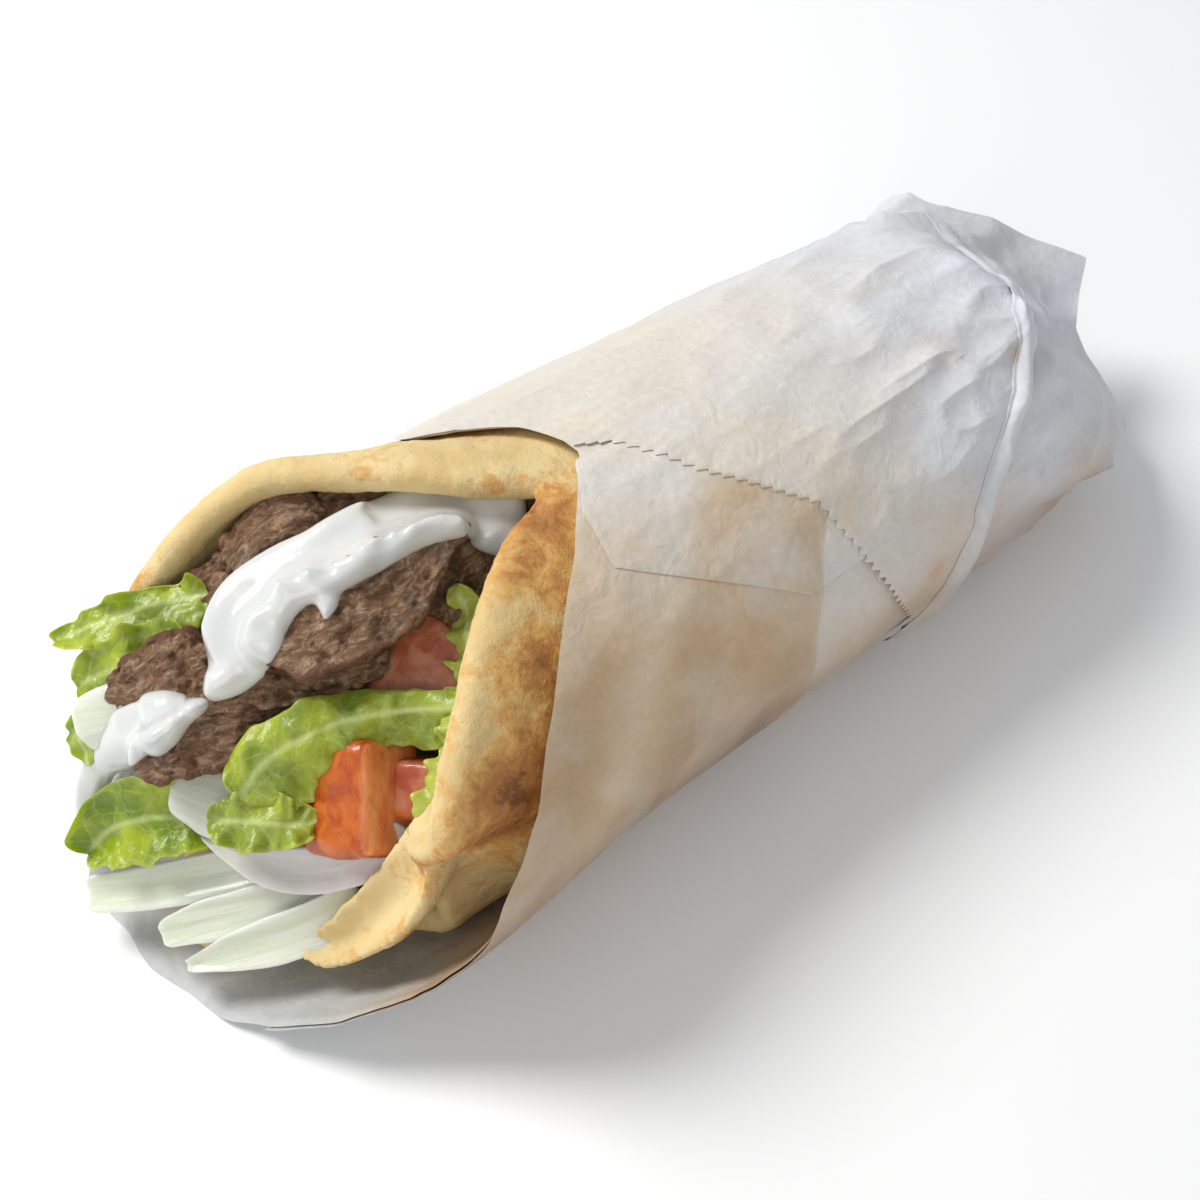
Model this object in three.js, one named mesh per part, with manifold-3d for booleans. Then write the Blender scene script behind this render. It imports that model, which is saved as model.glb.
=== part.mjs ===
// A gyro: a soft round pita rolled round sliced meat, salad and garlic sauce, then
// rolled in thin deli paper whose closed end is pinched flat.
// Millimetres, +Z up. X runs along the roll with the open end at -X, the near side
// of the opening faces -Y, and the roll lies on the plane z = 0.
import * as THREE from 'three';
import { mergeVertices } from 'three/addons/utils/BufferGeometryUtils.js';
import Module from 'manifold-3d';

const wasm = await Module();
wasm.setup();

const { PI, abs, cos, exp, hypot, max, min, sin, sqrt } = Math;
const { clamp, degToRad, lerp, smoothstep } = THREE.MathUtils;

// ---- driving dimensions -------------------------------------------------------------

const ROLL = {
  halfWidth: 41.3, // of the paper's outer face, half way along
  widthTaper: 0.045, // lost for each millimetre towards the closed end
  halfHeight: 35.3,
  heightTaper: 0.04,
  sink: 2, // how far the round section is pressed flat on the table
  centreY: 1,
};
const MOUTH_SWELL = { width: 3.5, height: 1.5, from: -20, to: -60 };
const MOUTH_PINCH = { width: 18, height: 8, sideways: 5, from: -62, to: -104, paperShare: 0.35 };
const FAR_LIP = { flare: 6, x: -46, length: 16, angle: degToRad(-134), spread: degToRad(23) };
const FLAT_END = {
  from: 86,
  to: 132,
  halfWidth: 39,
  halfHeight: 1.6,
  tilt: degToRad(31.5),
  y: 5.5,
  z: 31.5,
};
const PAPER_WALL = 1.2; // two or three turns of sheet
const PAPER_TO_PITA = 1;
const PITA = { radius: 104, thickness: 6, centreX: 2, slide: 4 };
const END_SLACK = { depth: 6, from: 60, to: 104 }; // how far the bread draws in at the closed end
const PLEAT = { at: 165, depth: 0.15, spread: 18 }; // degrees round the rim, share of the radius
const PITA_TO_FILLING = 0.9;
const FIT = 0.55; // clearance between neighbouring pieces of food
const FILLING = { start: -94, end: 88 };
const MEAT_TOP = { height: 52, drop: 16, from: -55, to: -94 };
const SALAD_TOP = { height: 38, drop: 27, from: -42, to: -98 };
// The meat lies on the far side of this line, which crosses the opening, with a step down to the salad.
const MEAT_EDGE = { x: -24, y: -5, reach: 62, rise: 17, stepDown: 8, stepUp: 4 };
const MEAT_PLANE = { height: 46.2, slope: 0.45 };

// Paper mouth: x of the paper's edge at each angle from the bottom, + towards the near side.
const MOUTH = [
  [-180, -3], [-160, -6], [-128, -12], [-105, -24], [-80, -50], [-60, -72], [-45, -92],
  [-30, -101], [0, -101], [15, -98], [35, -92], [50, -84], [62, -72], [80, -62], [95, -57],
  [123, -41], [140, -30], [158, -17], [180, -3],
];
// Flattened end: x of the paper's edge across the fin, from its far edge (-1) to its near one (1).
const END_EDGE = [
  [-1, 110], [-0.8, 114], [-0.4, 128], [0, 142], [0.3, 128], [0.6, 127], [0.9, 125], [1, 112],
];

const COLOUR = {
  paper: 0xe6e2da,
  pita: 0xe8d09c,
  meat: 0x6f5243,
  tomato: 0xd9552b,
  lettuce: 0x9dbb3a,
  onion: 0xe4e8d4,
  sauce: 0xf6f4ee,
};

// ---- small helpers ------------------------------------------------------------------

function along(table, at) {
  const last = table.length - 1;
  const next = clamp(table.findIndex(([key]) => key >= at), 1, last);
  const [from, to] = [table[next - 1], table[next]];
  return lerp(from[1], to[1], clamp((at - from[0]) / (to[0] - from[0]), 0, 1));
}

function ease(x, from, to) {
  return from < to ? smoothstep(x, from, to) : 1 - smoothstep(x, to, from);
}

// Joins equal vertices of a closed surface, turns its faces outwards and makes a solid of it.
function toSolid(geometry) {
  geometry.deleteAttribute('normal');
  geometry.deleteAttribute('uv');
  const merged = mergeVertices(geometry, 1e-4);
  const vertProperties = new Float32Array(merged.attributes.position.array);
  const triVerts = new Uint32Array(merged.index.array);
  const corner = [new THREE.Vector3(), new THREE.Vector3(), new THREE.Vector3()];
  let volume = 0;
  for (let k = 0; k < triVerts.length; k += 3) {
    corner.forEach((v, n) => v.fromArray(vertProperties, 3 * triVerts[k + n]));
    volume += corner[0].dot(corner[1].cross(corner[2]));
  }
  if (volume < 0) triVerts.reverse();
  return new wasm.Manifold(new wasm.Mesh({ numProp: 3, vertProperties, triVerts }));
}

function toGeometry(solid) {
  const { vertProperties, triVerts } = solid.getMesh();
  const geometry = new THREE.BufferGeometry();
  geometry.setAttribute('position', new THREE.BufferAttribute(vertProperties, 3));
  geometry.setIndex(new THREE.BufferAttribute(triVerts, 1));
  geometry.computeVertexNormals();
  return geometry;
}

function indexed(points, faces) {
  const geometry = new THREE.BufferGeometry();
  geometry.setAttribute('position', new THREE.Float32BufferAttribute(points.flat(), 3));
  geometry.setIndex(faces.flat());
  return geometry;
}

// Closed tube through rings of equal length; each end is closed by a fan round its middle.
function tube(rings, closeEnd = fan) {
  const size = rings[0].length;
  const points = rings.flat();
  const faces = [];
  for (let row = 0; row + 1 < rings.length; row += 1) {
    for (let k = 0; k < size; k += 1) {
      const [a, b] = [row * size + k, row * size + ((k + 1) % size)];
      faces.push([a, b, b + size], [a, b + size, a + size]);
    }
  }
  fan(points, faces, 0, size, true);
  closeEnd(points, faces, (rings.length - 1) * size, size, false);
  return toSolid(indexed(points, faces));
}

function fan(points, faces, start, size, flip) {
  const ring = points.slice(start, start + size);
  const middle = [0, 1, 2].map((axis) => ring.reduce((sum, p) => sum + p[axis], 0) / size);
  const centre = points.push(middle) - 1;
  for (let k = 0; k < size; k += 1) {
    const [a, b] = [start + k, start + ((k + 1) % size)];
    faces.push(flip ? [b, a, centre] : [a, b, centre]);
  }
}

// Closes a flattened ring by joining its lower side to its upper side.
function zip(points, faces, start, size) {
  const upper = (k) => start + ((size + size / 2 - k) % size);
  for (let k = -size / 4; k < size / 4; k += 1) {
    const [a, b] = [start + ((k + size) % size), start + ((k + 1 + size) % size)];
    faces.push([a, b, upper(k + 1)], [a, upper(k + 1), upper(k)]);
  }
}

// Closed slab between two grids of equal size.
function slab(top, bottom) {
  const [rows, cols] = [top.length, top[0].length];
  const points = [...top.flat(), ...bottom.flat()];
  const under = rows * cols;
  const faces = [];
  for (let r = 0; r + 1 < rows; r += 1) {
    for (let c = 0; c + 1 < cols; c += 1) {
      const a = r * cols + c;
      faces.push([a, a + 1, a + cols + 1], [a, a + cols + 1, a + cols]);
      const u = under + a;
      faces.push([u, u + cols + 1, u + 1], [u, u + cols, u + cols + 1]);
    }
  }
  const border = [];
  for (let c = 0; c < cols; c += 1) border.push(c);
  for (let r = 1; r < rows; r += 1) border.push(r * cols + cols - 1);
  for (let c = cols - 2; c >= 0; c -= 1) border.push((rows - 1) * cols + c);
  for (let r = rows - 2; r > 0; r -= 1) border.push(r * cols);
  border.forEach((a, k) => {
    const b = border[(k + 1) % border.length];
    faces.push([b, a, under + a], [b, under + a, under + b]);
  });
  return toSolid(indexed(points, faces));
}

// ---- the rolled section -------------------------------------------------------------

// A point of the roll: x along it, angle round it from the bottom (+ towards the near
// side), and its distance out from the paper's outer face.
function rollPoint(x, angle, out, pinchShare = 1) {
  const swell = ease(x, MOUTH_SWELL.from, MOUTH_SWELL.to);
  const pinch = pinchShare * ease(x, MOUTH_PINCH.from, MOUTH_PINCH.to);
  const flat = ease(x, FLAT_END.from, FLAT_END.to);
  const mouthWidth = swell * MOUTH_SWELL.width - pinch * MOUTH_PINCH.width;
  const mouthHeight = swell * MOUTH_SWELL.height - pinch * MOUTH_PINCH.height;
  const width = ROLL.halfWidth - ROLL.widthTaper * x + mouthWidth;
  const height = ROLL.halfHeight - ROLL.heightTaper * x + mouthHeight;
  const centreY = lerp(ROLL.centreY + pinch * MOUTH_PINCH.sideways, FLAT_END.y, flat);
  const centreZ = lerp(height - ROLL.sink, FLAT_END.z, flat);
  const across = -sin(angle) * (lerp(width, FLAT_END.halfWidth, flat) + out);
  const up = -cos(angle) * (lerp(height, FLAT_END.halfHeight, flat) + out);
  const tilt = FLAT_END.tilt * flat;
  const y = centreY + across * cos(tilt) - up * sin(tilt);
  const z = centreZ + across * sin(tilt) + up * cos(tilt);
  return [x, y, max(z, -out)];
}

// How far the bread's far lip stands out of the roll beyond the paper.
function lipFlare(x, angle) {
  const along = (x - FAR_LIP.x) / FAR_LIP.length;
  const round = (angle - FAR_LIP.angle) / FAR_LIP.spread;
  return FAR_LIP.flare * exp(-(along ** 2) - round ** 2);
}

function breadPoint(x, angle, out) {
  const slack = END_SLACK.depth * ease(x, END_SLACK.from, END_SLACK.to);
  return rollPoint(x, angle, out + lipFlare(x, angle) - slack);
}

function meanRadius(x, out) {
  const [, side] = rollPoint(x, -PI / 2, out);
  const [, , top] = rollPoint(x, PI, out);
  return (side - ROLL.centreY + top / 2) / 2;
}

// ---- paper --------------------------------------------------------------------------

function paper(grow = 0) {
  const [around, outerRows, innerRows, innerEnd] = [28, 11, 9, 116];
  const ring = (out, place) => Array.from({ length: around }, (_, k) => {
    const angle = (2 * PI * k) / around;
    const degrees = (angle * 180) / PI;
    const mouth = along(MOUTH, degrees > 180 ? degrees - 360 : degrees);
    return rollPoint(place(mouth, sin(angle)), angle, out, MOUTH_PINCH.paperShare);
  });
  const rings = [];
  for (let row = innerRows; row >= 0; row -= 1) {
    rings.push(ring(-PAPER_WALL - grow, (mouth) => lerp(mouth, innerEnd, row / innerRows)));
  }
  for (let row = 0; row <= outerRows; row += 1) {
    rings.push(ring(0, (mouth, side) => lerp(mouth, along(END_EDGE, side), row / outerRows)));
  }
  return tube(rings, zip);
}

// ---- pita ---------------------------------------------------------------------------

function pitaRadius(degrees) {
  return PITA.radius * (1 - PLEAT.depth * exp(-(((degrees - PLEAT.at) / PLEAT.spread) ** 2)));
}

// A round bread laid on the roll: rows run across it from its far rim to its near rim.
function pita(grow = 0) {
  const [rows, cols, bevel] = [13, 28, 3];
  const middle = -(PAPER_WALL + PAPER_TO_PITA + PITA.thickness / 2);
  const top = [];
  const bottom = [];
  for (let row = 0; row < rows; row += 1) {
    const degrees = lerp(176, 4, row / (rows - 1));
    const rim = [-degrees, degrees].map((at) => {
      const radius = pitaRadius(at) + grow;
      return [PITA.centreX + radius * cos(degToRad(at)), PITA.slide + radius * sin(degToRad(at))];
    });
    const span = hypot(rim[1][0] - rim[0][0], rim[1][1] - rim[0][1]);
    const inset = min(bevel / span, 0.2);
    const stations = [0, inset];
    for (let col = 1; col < cols; col += 1) stations.push(lerp(inset, 1 - inset, col / cols));
    stations.push(1 - inset, 1);
    for (const [side, rowPoints] of [[-1, []], [1, []]]) {
      stations.forEach((t, k) => {
        const x = lerp(rim[0][0], rim[1][0], t);
        const arc = lerp(rim[0][1], rim[1][1], t);
        const edge = k === 0 || k === stations.length - 1;
        const half = (edge ? 0.4 : 1) * (PITA.thickness / 2) + grow;
        rowPoints.push(breadPoint(x, arc / meanRadius(x, middle), middle + side * half));
      });
      (side < 0 ? top : bottom).push(rowPoints);
    }
  }
  return slab(top, bottom);
}

// ---- filling ------------------------------------------------------------------------

// Height of the packed filling under the loose pieces at the opening.
function fillingHeight(x, y) {
  const top = (layer) => layer.height - layer.drop * ease(x, layer.from, layer.to);
  const edge = MEAT_EDGE.y + (MEAT_EDGE.rise * (MEAT_EDGE.x - x)) / MEAT_EDGE.reach;
  const share = ease(y, edge - MEAT_EDGE.stepDown, edge + MEAT_EDGE.stepUp);
  return lerp(top(SALAD_TOP), top(MEAT_TOP), share);
}

function filling() {
  const [around, rows] = [18, 5];
  const out = -(PAPER_WALL + PAPER_TO_PITA + PITA.thickness + PITA_TO_FILLING);
  const rings = [];
  for (let row = 0; row <= rows; row += 1) {
    const x = lerp(FILLING.start, FILLING.end, row / rows);
    const angles = Array.from({ length: around }, (_, k) => (2 * PI * k) / around - PI);
    rings.push(angles.map((angle) => breadPoint(x, angle, out)));
  }
  // What lies over the filling at the opening is cut away.
  const cut = { fromX: -110, toX: 14, fromY: -50, toY: 54, top: 110, steps: 6, lanes: 5 };
  const floor = [];
  const sky = [];
  for (let row = 0; row <= cut.steps; row += 1) {
    const x = lerp(cut.fromX, cut.toX, row / cut.steps);
    const across = Array.from({ length: cut.lanes + 1 }, (_, k) => lerp(cut.fromY, cut.toY, k / cut.lanes));
    floor.push(across.map((y) => [x, y, fillingHeight(x, y)]));
    sky.push(across.map((y) => [x, y, cut.top]));
  }
  return tube(rings).subtract(slab(floor, sky));
}

// The plane that parts the meat, above it, from the salad below it.
function meatSide(gap) {
  const level = (y) => MEAT_PLANE.height - MEAT_PLANE.slope * y + gap / 2;
  const [ends, sides, top] = [[-130, 100], [-60, 60], 140];
  const sheet = (height) => ends.map((x) => sides.map((y) => [x, y, height(y)]));
  return slab(sheet(level), sheet(() => top));
}

// ---- loose pieces -------------------------------------------------------------------

// A strip along a curve: a meat slice, an onion strip, a leaf or a run of sauce.
//   spine   points along its middle        face    which way its broad side looks
//   width   across, at its widest          thick   through, at its thickest
//   blunt   2 ends pointed, 6 nearly square
//   cup     how far its edges lift         ruffle  [waves, height] along its edges
function strip(sizes, grow = 0) {
  const { spine, face, width, thick, blunt = 3, cup = 0, ruffle = [0, 0], rings = 5 } = sizes;
  const sides = 6;
  const curve = new THREE.CatmullRomCurve3(spine.map((p) => new THREE.Vector3(...p)));
  const out = new THREE.Vector3(...face).normalize();
  const [waves, waveHeight] = ruffle;
  const reach = grow / curve.getLength();
  const loops = [];
  for (let row = 0; row <= rings; row += 1) {
    const share = row / rings;
    const t = clamp(share, 0.001, 0.999);
    const shift = (share - 0.5) * 2 * reach * curve.getLength();
    const ahead = curve.getTangentAt(t);
    const side = new THREE.Vector3().crossVectors(out, ahead).normalize();
    const up = new THREE.Vector3().crossVectors(ahead, side);
    const taper = (1 - abs(2 * lerp(0.03, 0.97, share) - 1) ** blunt) ** (1 / blunt);
    const at = curve.getPointAt(t).addScaledVector(ahead, shift);
    loops.push(Array.from({ length: sides }, (_, k) => {
      const angle = (2 * PI * (k + 0.5)) / sides;
      const across = cos(angle) / cos(PI / sides);
      const wave = waveHeight * sin(2 * PI * waves * share + (across > 0 ? 1.2 : 0));
      const lift = (cup + wave) * across ** 2 * taper;
      const height = (sin(angle) * thick * sqrt(taper)) / 2 + grow * Math.sign(sin(angle)) + lift;
      const point = at.clone();
      point.addScaledVector(side, (across * width * taper) / 2 + grow * Math.sign(across));
      point.addScaledVector(up, height);
      return point.toArray();
    }));
  }
  return tube(loops);
}

// A cut chunk of tomato: a block with rounded edges, wider at one end.
function chunk({ at, size, turn, wedge = 0.25 }, grow = 0) {
  const geometry = new THREE.BoxGeometry(2, 2, 2, 3, 3, 3);
  const place = new THREE.Matrix4().makeRotationFromEuler(new THREE.Euler(...turn.map(degToRad)));
  place.setPosition(...at);
  const position = geometry.attributes.position;
  for (let k = 0; k < position.count; k += 1) {
    const corner = new THREE.Vector3().fromBufferAttribute(position, k);
    const far = (abs(corner.x) ** 5 + abs(corner.y) ** 5 + abs(corner.z) ** 5) ** 0.2;
    corner.divideScalar(far);
    const narrow = 1 - wedge * (corner.x + 1) * 0.5;
    corner.multiply(new THREE.Vector3(1, narrow, narrow));
    corner.multiply(new THREE.Vector3(...size.map((s) => s / 2 + grow)));
    position.setXYZ(k, ...corner.applyMatrix4(place).toArray());
  }
  return toSolid(geometry);
}

const UP_FRONT = [-0.3, -0.45, 0.84]; // the way the opening looks

// Uppermost pieces come first: each later one is trimmed where an earlier one lies on it.
const PIECES = [
  ['meat_slice_1', strip, 'meat', { spine: [[-66, 11, 54], [-54, 4, 56], [-40, 3, 57], [-25, 4, 60]],
    face: [-0.15, -0.5, 0.85], width: 22, thick: 5, cup: -1.5, blunt: 2.4 }],
  ['meat_slice_2', strip, 'meat', { spine: [[-55, -1, 46], [-42, -2, 48], [-27, -1, 51], [-15, 3, 55]],
    face: UP_FRONT, width: 20, thick: 5 }],
  ['meat_slice_3', strip, 'meat', { spine: [[-50, 0, 42], [-40, -3, 43], [-26, -4, 46]],
    face: UP_FRONT, width: 12, thick: 4 }],
  ['meat_slice_4', strip, 'meat', { spine: [[-76, 14, 44], [-67, 8, 46], [-54, 2, 46]],
    face: [-0.4, -0.5, 0.77], width: 12, thick: 5 }],
  ['meat_slice_5', strip, 'meat', { spine: [[-88, 17, 37], [-80, 11, 39], [-68, 6, 41]],
    face: [-0.5, -0.5, 0.7], width: 12, thick: 5.5 }],
  ['meat_slice_6', strip, 'meat', { spine: [[-85, 27, 38], [-78, 22, 43], [-70, 19, 48]],
    face: [-0.6, -0.4, 0.7], width: 15, thick: 5 }],
  ['meat_slice_7', strip, 'meat', { spine: [[-57, 29, 50], [-50, 29, 54], [-42, 26, 56]],
    face: [-0.6, -0.3, 0.74], width: 14, thick: 7 }],
  ['meat_slice_8', strip, 'meat', { spine: [[-68, 31, 44], [-61, 31, 48], [-55, 31, 50]],
    face: [-0.6, -0.2, 0.78], width: 12, thick: 5 }],
  ['meat_slice_9', strip, 'meat', { spine: [[-42, 26, 54], [-28, 20, 58], [-12, 12, 60]],
    face: UP_FRONT, width: 12, thick: 4 }],
  ['tomato_1', chunk, 'tomato', { at: [-61, -14, 32], size: [23, 21, 15], turn: [20, -25, 60] }],
  ['tomato_2', chunk, 'tomato', { at: [-41, -7, 41], size: [20, 17, 11], turn: [15, -15, 10] }],
  ['lettuce_1', strip, 'lettuce', { spine: [[-76, 2, 38], [-67, -1, 43], [-55, -8, 45], [-43, -15, 46]],
    face: [-0.35, -0.65, 0.67], width: 19, thick: 2.4, ruffle: [2.5, 1.6], blunt: 5, rings: 8 }],
  ['lettuce_2', strip, 'lettuce', { spine: [[-32, -3, 49], [-38, -11, 48], [-48, -20, 44], [-60, -25, 37]],
    face: [-0.6, 0.2, 0.77], width: 9, thick: 2.4, ruffle: [4, 1.5], blunt: 4, rings: 7 }],
  ['lettuce_3', strip, 'lettuce', { spine: [[-87, 43, 44], [-79, 38, 46], [-71, 33, 48], [-62, 29, 51]],
    face: [-0.5, -0.2, 0.84], width: 18, thick: 2.4, ruffle: [2.5, 1.2], blunt: 4, rings: 7 }],
  ['lettuce_4', strip, 'lettuce', { spine: [[-99, 22, 15], [-92, 17, 21], [-85, 10, 24], [-78, 3, 24]],
    face: [-0.6, -0.4, 0.69], width: 17, thick: 2.4, cup: 2, ruffle: [1, 0.8], blunt: 5, rings: 7 }],
  ['lettuce_5', strip, 'lettuce', { spine: [[-83, 2, 32], [-78, -4, 32], [-73, -10, 32]],
    face: UP_FRONT, width: 11, thick: 2.4, ruffle: [2, 1.5], blunt: 4 }],
  ['lettuce_6', strip, 'lettuce', { spine: [[-91, 31, 35], [-92, 29, 32], [-93, 27, 29]],
    face: [-0.8, -0.1, 0.6], width: 9, thick: 2.2 }],
  ['onion_1', strip, 'onion', { spine: [[-82, 5, 21], [-77, -7, 21], [-69, -15, 23], [-58, -21, 29]],
    face: [-0.5, -0.55, 0.67], width: 11, thick: 3.2, cup: 1.5, blunt: 4, rings: 6 }],
  ['onion_2', strip, 'onion', { spine: [[-102, 17, 8], [-92, 7, 12], [-82, 0, 15], [-68, -6, 20]],
    face: [-0.5, -0.4, 0.77], width: 11, thick: 3.2, cup: 1.5, blunt: 5, rings: 6 }],
  ['onion_3', strip, 'onion', { spine: [[-97, 2, 8], [-88, -3, 11], [-78, -9, 13], [-68, -12, 17]],
    face: [-0.5, -0.45, 0.74], width: 10, thick: 3.2, cup: 1.5, blunt: 5, rings: 6 }],
  ['onion_4', strip, 'onion', { spine: [[-96, -5, 7], [-88, -10, 10], [-78, -16, 14], [-68, -19, 19]],
    face: [-0.45, -0.5, 0.74], width: 10, thick: 3.2, cup: 1.5, blunt: 5, rings: 6 }],
  ['onion_5', strip, 'onion', { spine: [[-84, 14, 30], [-79, 6, 29], [-74, -5, 27]],
    face: [-0.5, -0.4, 0.77], width: 14, thick: 2.6 }],
  ['onion_6', strip, 'onion', { spine: [[-91, 31, 35], [-87, 27, 37], [-83, 22, 38]],
    face: [-0.75, -0.3, 0.6], width: 12, thick: 3 }],
  ['sauce_1', strip, 'sauce', {
    spine: [[-15, 3, 60], [-32, 12, 63], [-50, 15, 61], [-64, 15, 57], [-75, 12, 47]],
    face: UP_FRONT, width: 15, thick: 5, blunt: 4, rings: 9 }],
  ['sauce_2', strip, 'sauce', { spine: [[-76, 13, 46], [-85, 18, 41], [-92, 22, 31], [-96, 20, 14]],
    face: [-0.7, -0.4, 0.6], width: 11, thick: 4.5, blunt: 4, rings: 7 }],
];

// ---- assembly -----------------------------------------------------------------------

// The main body of a trimmed piece, as a plain solid of its own.
function largest(solid) {
  const [body] = solid.decompose().sort((a, b) => b.volume() - a.volume());
  return body.asOriginal();
}

const model = new THREE.Group();

function add(name, kind, solid) {
  const wet = kind === 'sauce' || kind === 'tomato';
  const finish = { color: COLOUR[kind], roughness: wet ? 0.25 : 0.7, metalness: 0 };
  const mesh = new THREE.Mesh(toGeometry(solid), new THREE.MeshStandardMaterial(finish));
  mesh.name = name;
  model.add(mesh);
}

const shells = [paper(FIT), pita(FIT)];
const taken = [];

function trimmed(solid, others) {
  return largest(others.reduce((rest, other) => rest.subtract(other), solid));
}

add('paper_wrap', 'paper', paper());
add('pita', 'pita', pita());

for (const [name, shape, kind, sizes] of PIECES) {
  add(name, kind, trimmed(shape(sizes), [...shells, ...taken]));
  taken.push(shape(sizes, FIT));
}

const meat = filling().intersect(meatSide(FIT));
const salad = filling().subtract(meatSide(-FIT));
add('meat_filling', 'meat', trimmed(meat, [...shells, ...taken]));
add('salad_filling', 'lettuce', trimmed(salad, [...shells, ...taken]));

export default model;
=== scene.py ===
import math

import bpy
import numpy as np
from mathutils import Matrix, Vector
from mathutils.bvhtree import BVHTree
from mathutils.kdtree import KDTree


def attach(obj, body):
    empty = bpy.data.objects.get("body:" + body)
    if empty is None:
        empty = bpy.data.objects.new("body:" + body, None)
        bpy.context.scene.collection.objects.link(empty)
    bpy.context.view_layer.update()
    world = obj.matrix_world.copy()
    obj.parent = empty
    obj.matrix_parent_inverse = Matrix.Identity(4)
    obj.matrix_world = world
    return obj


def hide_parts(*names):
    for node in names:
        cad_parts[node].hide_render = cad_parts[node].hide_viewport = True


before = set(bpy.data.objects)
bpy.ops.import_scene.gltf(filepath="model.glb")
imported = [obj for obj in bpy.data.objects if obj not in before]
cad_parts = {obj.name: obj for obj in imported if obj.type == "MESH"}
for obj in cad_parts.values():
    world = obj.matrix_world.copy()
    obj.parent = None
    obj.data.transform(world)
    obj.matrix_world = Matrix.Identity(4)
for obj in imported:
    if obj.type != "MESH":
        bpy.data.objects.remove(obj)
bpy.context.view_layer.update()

# A gyro in deli paper. Shapes are worked out in millimetres, with X along the roll and
# the open end at -X, and become metres when a mesh is made.
MM = 0.001

# ---- the roll's dimensions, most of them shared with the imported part

# over: where along x a change comes in. PITA's depth, how far in the bread lies, is set here alone.
ROLL = dict(half_width=41.3, width_taper=0.045, half_height=35.3, height_taper=0.04, sink=2, centre_y=1)
SWELL = dict(width=3.5, height=1.5, over=(-20, -60))
PINCH = dict(width=18, height=8, sideways=5, over=(-62, -104), paper_share=0.35)
FLAT = dict(half_width=39, half_height=1.6, tilt=31.5, y=5.5, z=31.5, over=(86, 132))
LIP = dict(flare=6, x=-46, length=16, angle=-134, spread=23)
PITA = dict(radius=104, thickness=6, centre_x=2, slide=4, depth=-5.2)
SLACK = dict(depth=6, over=(60, 104))
PLEAT = dict(at=165, depth=0.15, spread=18)
# x of the paper's edge at each angle from the bottom, in degrees, + towards the near side
MOUTH = ((-180, -3), (-160, -6), (-128, -12), (-105, -24), (-80, -50), (-60, -72), (-45, -92),
         (-30, -101), (0, -101), (15, -98), (35, -92), (50, -84), (62, -72), (80, -62), (95, -57),
         (123, -41), (140, -30), (158, -17), (180, -3))
# x of the flat end's edge, from its far edge (-1) to its near edge (1)
END_EDGE = ((-1, 110), (-0.8, 114), (-0.4, 128), (0, 142), (0.3, 128), (0.6, 127), (0.9, 125), (1, 112))

# ---- finer shape, set for the looks

CROWN = dict(flare=3.4, x=-27, length=12, angle=-156, spread=22)
TUCK = dict(depth=12, over=(-38, -60), low=(42, 68), high=(118, 92))
# How much shorter the bread's near side is where its rim curls, and how much further its
# far side reaches: degrees round the rim, millimetres.
NEAR_CUT = ((124, 0), (130, 2), (135, 9), (140, 17), (146, 24), (156, 26), (164, 22), (170, 8), (175, 0))
FAR_REACH = ((60, 0), (82, 12), (96, 10), (110, 3), (125, 4), (140, 2), (166, 0))
RIM_ROUND = 3.2
FLOOR_GAP = 0.1


# ---- numbers

def ease(x, start, end):
    t = np.clip((np.asarray(x, float) - start) / (end - start), 0, 1)
    return t * t * (3 - 2 * t)


def table(pairs, at):
    keys, values = zip(*pairs)
    return np.interp(at, keys, values)


def half_turn(degrees):
    """The same direction as an angle from -180 to 180."""
    return (np.asarray(degrees, float) + 180) % 360 - 180


def rounded(distance, reach):
    """A round edge's share of the full thickness, at a distance in from the edge."""
    return np.sqrt(1 - (1 - np.clip(distance / reach, 0, 1)) ** 2)


def softened(values, passes):
    """The values, each drawn towards its two neighbours."""
    for _ in range(passes):
        values = (np.roll(values, 1) + 2 * values + np.roll(values, -1)) / 4
    return values


def unit(v):
    return v / np.maximum(np.linalg.norm(v, axis=-1, keepdims=True), 1e-9)


def lattice(cell, seed):
    """A repeatable value from -1 to 1 for each whole-numbered cell."""
    h = cell[..., 0] * 374761393 + cell[..., 1] * 668265263 + cell[..., 2] * 362437 + seed * 1274126177
    h = (h ^ (h >> 13)) & 0xFFFFFFFF
    h = (h * 1274126177) & 0xFFFFFFFF
    h = h ^ (h >> 16)
    return h / 0x7FFFFFFF - 1.0


def noise(points, size, seed=0):
    """Smooth noise from -1 to 1; size is the width of a lump, one number or one for each axis."""
    p = np.asarray(points, float) / size
    cell = np.floor(p).astype(np.int64)
    f = p - cell
    f = f * f * (3 - 2 * f)
    total = 0
    for dx in (0, 1):
        for dy in (0, 1):
            for dz in (0, 1):
                weight = np.where(dx, f[..., 0], 1 - f[..., 0])
                weight = weight * np.where(dy, f[..., 1], 1 - f[..., 1])
                weight = weight * np.where(dz, f[..., 2], 1 - f[..., 2])
                total = total + weight * lattice(cell + np.array([dx, dy, dz]), seed)
    return total


def fractal(points, size, octaves=3, seed=0):
    size = np.asarray(size, float)
    return sum(0.5 ** k * noise(points, size * 0.5 ** k, seed + k) for k in range(octaves))


def ridges(points, size, seed=0):
    """Sharp creases: 1 along each crease, falling to -1 between them."""
    return 1 - 2 * np.abs(noise(points, size, seed)) ** 0.75


def wobble(along, size, seed=0):
    along = np.asarray(along, float)
    return noise(np.stack([along, along * 0 + 0.5, along * 0 + 0.5], -1), (size, 1, 1), seed)


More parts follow.
